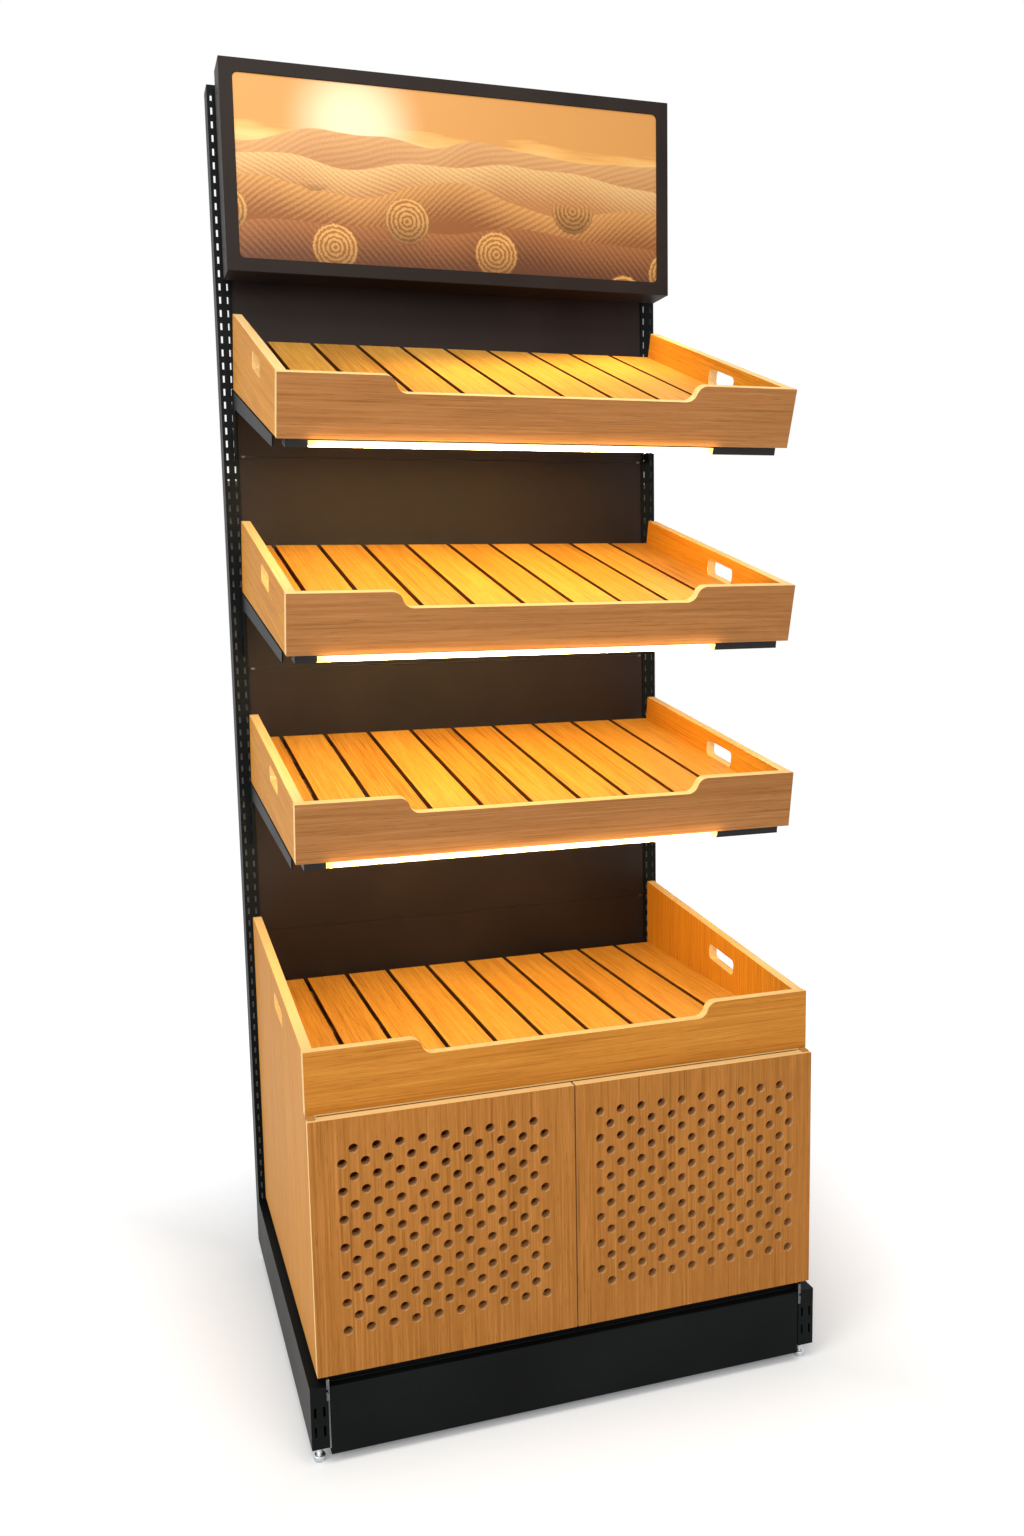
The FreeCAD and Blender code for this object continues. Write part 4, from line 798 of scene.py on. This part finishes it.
class SHELF_OT_fit_screws(bpy.types.Operator):
    """Fit the small screws: pivot plates, latch, light box and light bars"""

    bl_idname = "shelf.fit_screws"
    bl_label = "Fit screws"

    def execute(self, context):
        # Blackened and zinc screws
        black = powder_coat("Blackened screw steel", [(0.2, "141617"), (0.8, "26292A")], 0.4, 0.35)
        zinc = bpy.data.materials["Bright zinc plate"]
        foot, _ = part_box("cabinet_side_left")
        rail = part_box("bin_front")[0].z
        near, far = PIVOT_SCREW_STEPS
        for side, sign in SIDES:
            for z in (foot.z + near, foot.z + far, rail - far, rail - near):
                self.fit("pivot_screw_%s_%d" % (side, round(z * 1000)),
                         (sign * PIVOT_SCREW_REACH, foot.y, z), (0, -1, 0), PIVOT_HEAD, zinc, "zinc")
        _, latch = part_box("latch_housing")
        for side, sign in SIDES:
            place = (sign * LATCH_SCREW_REACH, latch.y - LATCH_SCREW_SETBACK, latch.z)
            self.fit("latch_screw_" + side, place, (0, 0, 1), LATCH_HEAD, zinc, "zinc")
        low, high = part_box("lightbox_housing")
        for x, (side, sign) in zip((low.x, high.x), SIDES):
            for k, z in enumerate((low.z + BOX_SCREW_INSET, high.z - BOX_SCREW_INSET)):
                self.fit("lightbox_screw_%s_%d" % (side, k), (x, (low.y + high.y) / 2, z), (sign, 0, 0),
                         COVER_HEAD, black, "black_steel")
        for n in TRAYS:
            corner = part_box("light_bar_%d" % n)
            slope = self.bar_slope(n)
            down = Vector((0, math.sin(slope), -math.cos(slope)))
            middle = (corner[0] + corner[1]) / 2 + down * BAR_SCREW_DROP
            middle += Vector((0, math.cos(slope), math.sin(slope))) * BAR_SCREW_BACK
            for side, sign in SIDES:
                place = (sign * BAR_SCREW_REACH, middle.y, middle.z)
                self.fit("bar_screw_%d_%s" % (n, side), place, down, COVER_HEAD, black, "black_steel")
        return {"FINISHED"}

    def bar_slope(self, n):
        """Slope of a light bar, which follows the lower edge of the tray's sides."""
        return tray_tilt(n) - math.atan2(TRAY_TAPER, TRAY_TAPER_RUN)

    def fit(self, name, place, facing, head, material, slot):
        """One screw head on the shelf's fixed body, facing a direction."""
        turn = Vector(facing).to_track_quat("Z", "Y").to_matrix().to_4x4()
        points, faces = screw_shape(*head)
        set_in = Matrix.Translation(Vector(place)) @ turn
        made = piece(name, [set_in @ point for point in points], faces, material, "shelf")
        made.data.shade_smooth()
        made.data.set_sharp_from_angle(angle=SHARP_SCREW_EDGE)


class SHELF_OT_set_stage(bpy.types.Operator):
    """Set the pale floor, the soft light, the shelf's lamps and the camera"""

    bl_idname = "shelf.set_stage"
    bl_label = "Set stage"

    def execute(self, context):
        scene = context.scene
        scene.view_settings.view_transform = "Standard"
        light = scene.shelf_light
        self.world(scene, light.daylight)
        self.floor(scene)
        for name, place, aim, size, power, colour in STUDIO_LAMPS:
            self.lamp(name, place, Vector(aim) - Vector(place), size, getattr(light, power), colour)
        for n in TRAYS:
            low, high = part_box("light_diffuser_%d" % n)
            middle, width = (low.x + high.x) / 2, high.x - low.x
            place = (middle, low.y + BAR_LAMP_BACK, low.z - BAR_LAMP_DROP)
            self.lamp("Light bar %d" % n, place, BAR_LAMP_AIM, (width, BAR_LAMP_HEIGHT), light.lamp_power,
                      light.lamp_colour)
            # Some of the bar's light spills forward and washes the lower edge of the front board.
            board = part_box("tray_%d_front" % n)
            foot = board[0].y + (board[1].z - board[0].z) * math.tan(tray_tilt(n))
            place = (middle, foot - SPILL_AHEAD, board[0].z - SPILL_DROP)
            self.lamp("Bar spill %d" % n, place, SPILL_AIM, (width, SPILL_HEIGHT),
                      SPILL_SHARE * light.lamp_power, light.lamp_colour)
            # What the pale boards scatter fills the bay under the tray.
            low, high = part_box("tray_%d_bearers" % n)
            place = (0, (low.y + high.y) / 2, low.z - GLOW_DROP)
            self.lamp("Bay glow %d" % n, place, GLOW_AIM, GLOW_SIZE, light.glow_power, light.glow_colour)
        # Light from the print and the box above falls on the front of the top tray.
        low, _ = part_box("lightbox_housing")
        place = (DOWN_RIGHT, low.y - DOWN_AHEAD, low.z - DOWN_DROP)
        self.lamp("Light box, down", place, DOWN_AIM, DOWN_SIZE, DOWN_SHARE * light.glow_power,
                  light.glow_colour, DOWN_SPREAD)
        self.camera(scene)
        return {"FINISHED"}

    def world(self, scene, daylight):
        """Even daylight, seen as plain white behind the shelf and in its reflections."""
        scene.world = bpy.data.worlds.new("Studio")
        scene.world.use_nodes = True
        tree = scene.world.node_tree
        tree.nodes.clear()
        path = add(tree, "LightPath")
        seen = path.outputs["Is Camera Ray"]
        for ray in ("Is Glossy Ray", "Is Transmission Ray"):
            seen = add(tree, "Math", {0: seen, 1: path.outputs[ray]}, operation="MAXIMUM").outputs[0]
        room = add(tree, "Background", {"Color": linear("FFFCF7"), "Strength": daylight}).outputs[0]
        white = add(tree, "Background", {"Color": linear("FFFFFF"), "Strength": 1.0}).outputs[0]
        mixed = add(tree, "MixShader", {0: seen, 1: room, 2: white}).outputs[0]
        add(tree, "OutputWorld", {"Surface": mixed})

    def floor(self, scene):
        """A pale floor with a painted glow, weak near the shelf and taken away under it, so that the
        shelf's soft shadow shows.
        """
        made, tree, place = blank("Pale floor")
        speck = add(tree, "TexNoise", {"Vector": place, "Scale": 1 / FLOOR_SPECK,
                                       "Detail": 2.0}).outputs[0]
        colour = add(tree, "ValToRGB", {0: speck}, [(0.3, "E6E8EC"), (0.7, "ECEEF1")]).outputs[0]
        # Away from the shelf a painted glow brightens the floor into the white behind it.
        parts = add(tree, "SeparateXYZ", {0: place})
        beyond = []
        for axis, half in (("X", CAD_BOX[1].x), ("Y", CAD_BOX[1].y)):
            span = add(tree, "Math", {0: parts.outputs[axis]}, operation="ABSOLUTE").outputs[0]
            beyond.append(add(tree, "Math", {0: span, 1: half}, operation="SUBTRACT").outputs[0])
        away = add(tree, "Math", {0: beyond[0], 1: beyond[1]}, operation="MAXIMUM").outputs[0]
        lift = add(tree, "MapRange", {"Value": away, "From Min": FLOOR_LIFT_FROM,
                                      "From Max": FLOOR_LIFT_TO, "To Min": 0.2, "To Max": 0.9}).outputs[0]
        # Under the shelf the painted glow is taken away, so it stays dark.
        clear = add(tree, "MapRange", {"Value": away, "From Min": FLOOR_DARK_TO,
                                       "From Max": FLOOR_CLEAR_FROM}).outputs[0]
        lift = add(tree, "Math", {0: lift, 1: clear}, operation="MULTIPLY").outputs[0]
        surface(tree, {"Base Color": colour, "Roughness": 0.9, "Specular IOR Level": 0.0,
                       "Emission Color": colour, "Emission Strength": lift})
        mesh = bpy.data.meshes.new("Floor")
        corners = ((-1, -1), (1, -1), (1, 1), (-1, 1))
        mesh.from_pydata([(FLOOR_REACH * x, FLOOR_REACH * y, 0) for x, y in corners], [], [(0, 1, 2, 3)])
        mesh.materials.append(made)
        floor = bpy.data.objects.new("Floor", mesh)
        scene.collection.objects.link(floor)

    def lamp(self, name, place, aim, size, power, colour, spread=180):
        """A soft rectangular light that isn't itself seen, facing along aim, its spread in degrees."""
        data = bpy.data.lights.new(name, "AREA")
        data.shape = "RECTANGLE"
        data.size, data.size_y = size
        data.energy = power
        data.color = colour
        data.spread = math.radians(spread)
        made = bpy.data.objects.new(name, data)
        made.location = place
        made.rotation_euler = aim.to_track_quat("-Z", "Y").to_euler()
        made.visible_camera = False
        bpy.context.scene.collection.objects.link(made)

    def camera(self, scene):
        """The photograph's view: turned right, tipped down and rolled a little."""
        yaw, pitch, roll = (math.radians(a) for a in (CAMERA_YAW, CAMERA_PITCH, CAMERA_ROLL))
        level = Vector((math.cos(yaw), -math.sin(yaw), 0))
        ahead = Vector((math.sin(yaw) * math.cos(pitch), math.cos(yaw) * math.cos(pitch),
                        -math.sin(pitch)))
        down = ahead.cross(level)
        right = level * math.cos(roll) + down * math.sin(roll)
        down = down * math.cos(roll) - level * math.sin(roll)
        data = bpy.data.cameras.new("Camera")
        data.lens = CAMERA_LENS
        data.sensor_width = CAMERA_SENSOR
        made = bpy.data.objects.new("Camera", data)
        turn = Matrix((right, -down, -ahead)).transposed().to_4x4()
        made.matrix_world = Matrix.Translation(Vector(CAMERA_PLACE)) @ turn
        scene.collection.objects.link(made)
        scene.camera = made


STEPS = (SHELF_OT_coat_steel, SHELF_OT_plate_zinc, SHELF_OT_finish_trays, SHELF_OT_finish_cabinet,
         SHELF_OT_finish_doors, SHELF_OT_finish_light_box, SHELF_OT_finish_light_bars,
         SHELF_OT_finish_latches, SHELF_OT_fit_screws, SHELF_OT_set_stage)


class SHELF_PT_looks(bpy.types.Panel):
    """Sizes, lamps and steps of the shelf's looks"""

    bl_label = "Display shelf"
    bl_idname = "SHELF_PT_looks"
    bl_space_type = "VIEW_3D"
    bl_region_type = "UI"
    bl_category = "Shelf"

    def draw(self, context):
        for group in (context.scene.shelf_wood, context.scene.shelf_metal, context.scene.shelf_light):
            box = self.layout.box()
            for key in group.__annotations__:
                box.prop(group, key)
        for step in STEPS:
            self.layout.operator(step.bl_idname)


CLASSES = (ShelfWood, ShelfMetal, ShelfLight, *STEPS, SHELF_PT_looks)


def register():
    for each in CLASSES:
        bpy.utils.register_class(each)
    bpy.types.Scene.shelf_wood = PointerProperty(type=ShelfWood)
    bpy.types.Scene.shelf_metal = PointerProperty(type=ShelfMetal)
    bpy.types.Scene.shelf_light = PointerProperty(type=ShelfLight)


def unregister():
    del bpy.types.Scene.shelf_light
    del bpy.types.Scene.shelf_metal
    del bpy.types.Scene.shelf_wood
    for each in reversed(CLASSES):
        bpy.utils.unregister_class(each)


def main():
    register()
    bpy.ops.shelf.coat_steel()
    bpy.ops.shelf.plate_zinc()
    bpy.ops.shelf.finish_trays()
    bpy.ops.shelf.finish_cabinet()
    bpy.ops.shelf.finish_doors()
    bpy.ops.shelf.finish_light_box()
    bpy.ops.shelf.finish_light_bars()
    bpy.ops.shelf.finish_latches()
    bpy.ops.shelf.fit_screws()
    bpy.ops.shelf.set_stage()
    bpy.context.view_layer.update()


if __name__ == "__main__":
    main()
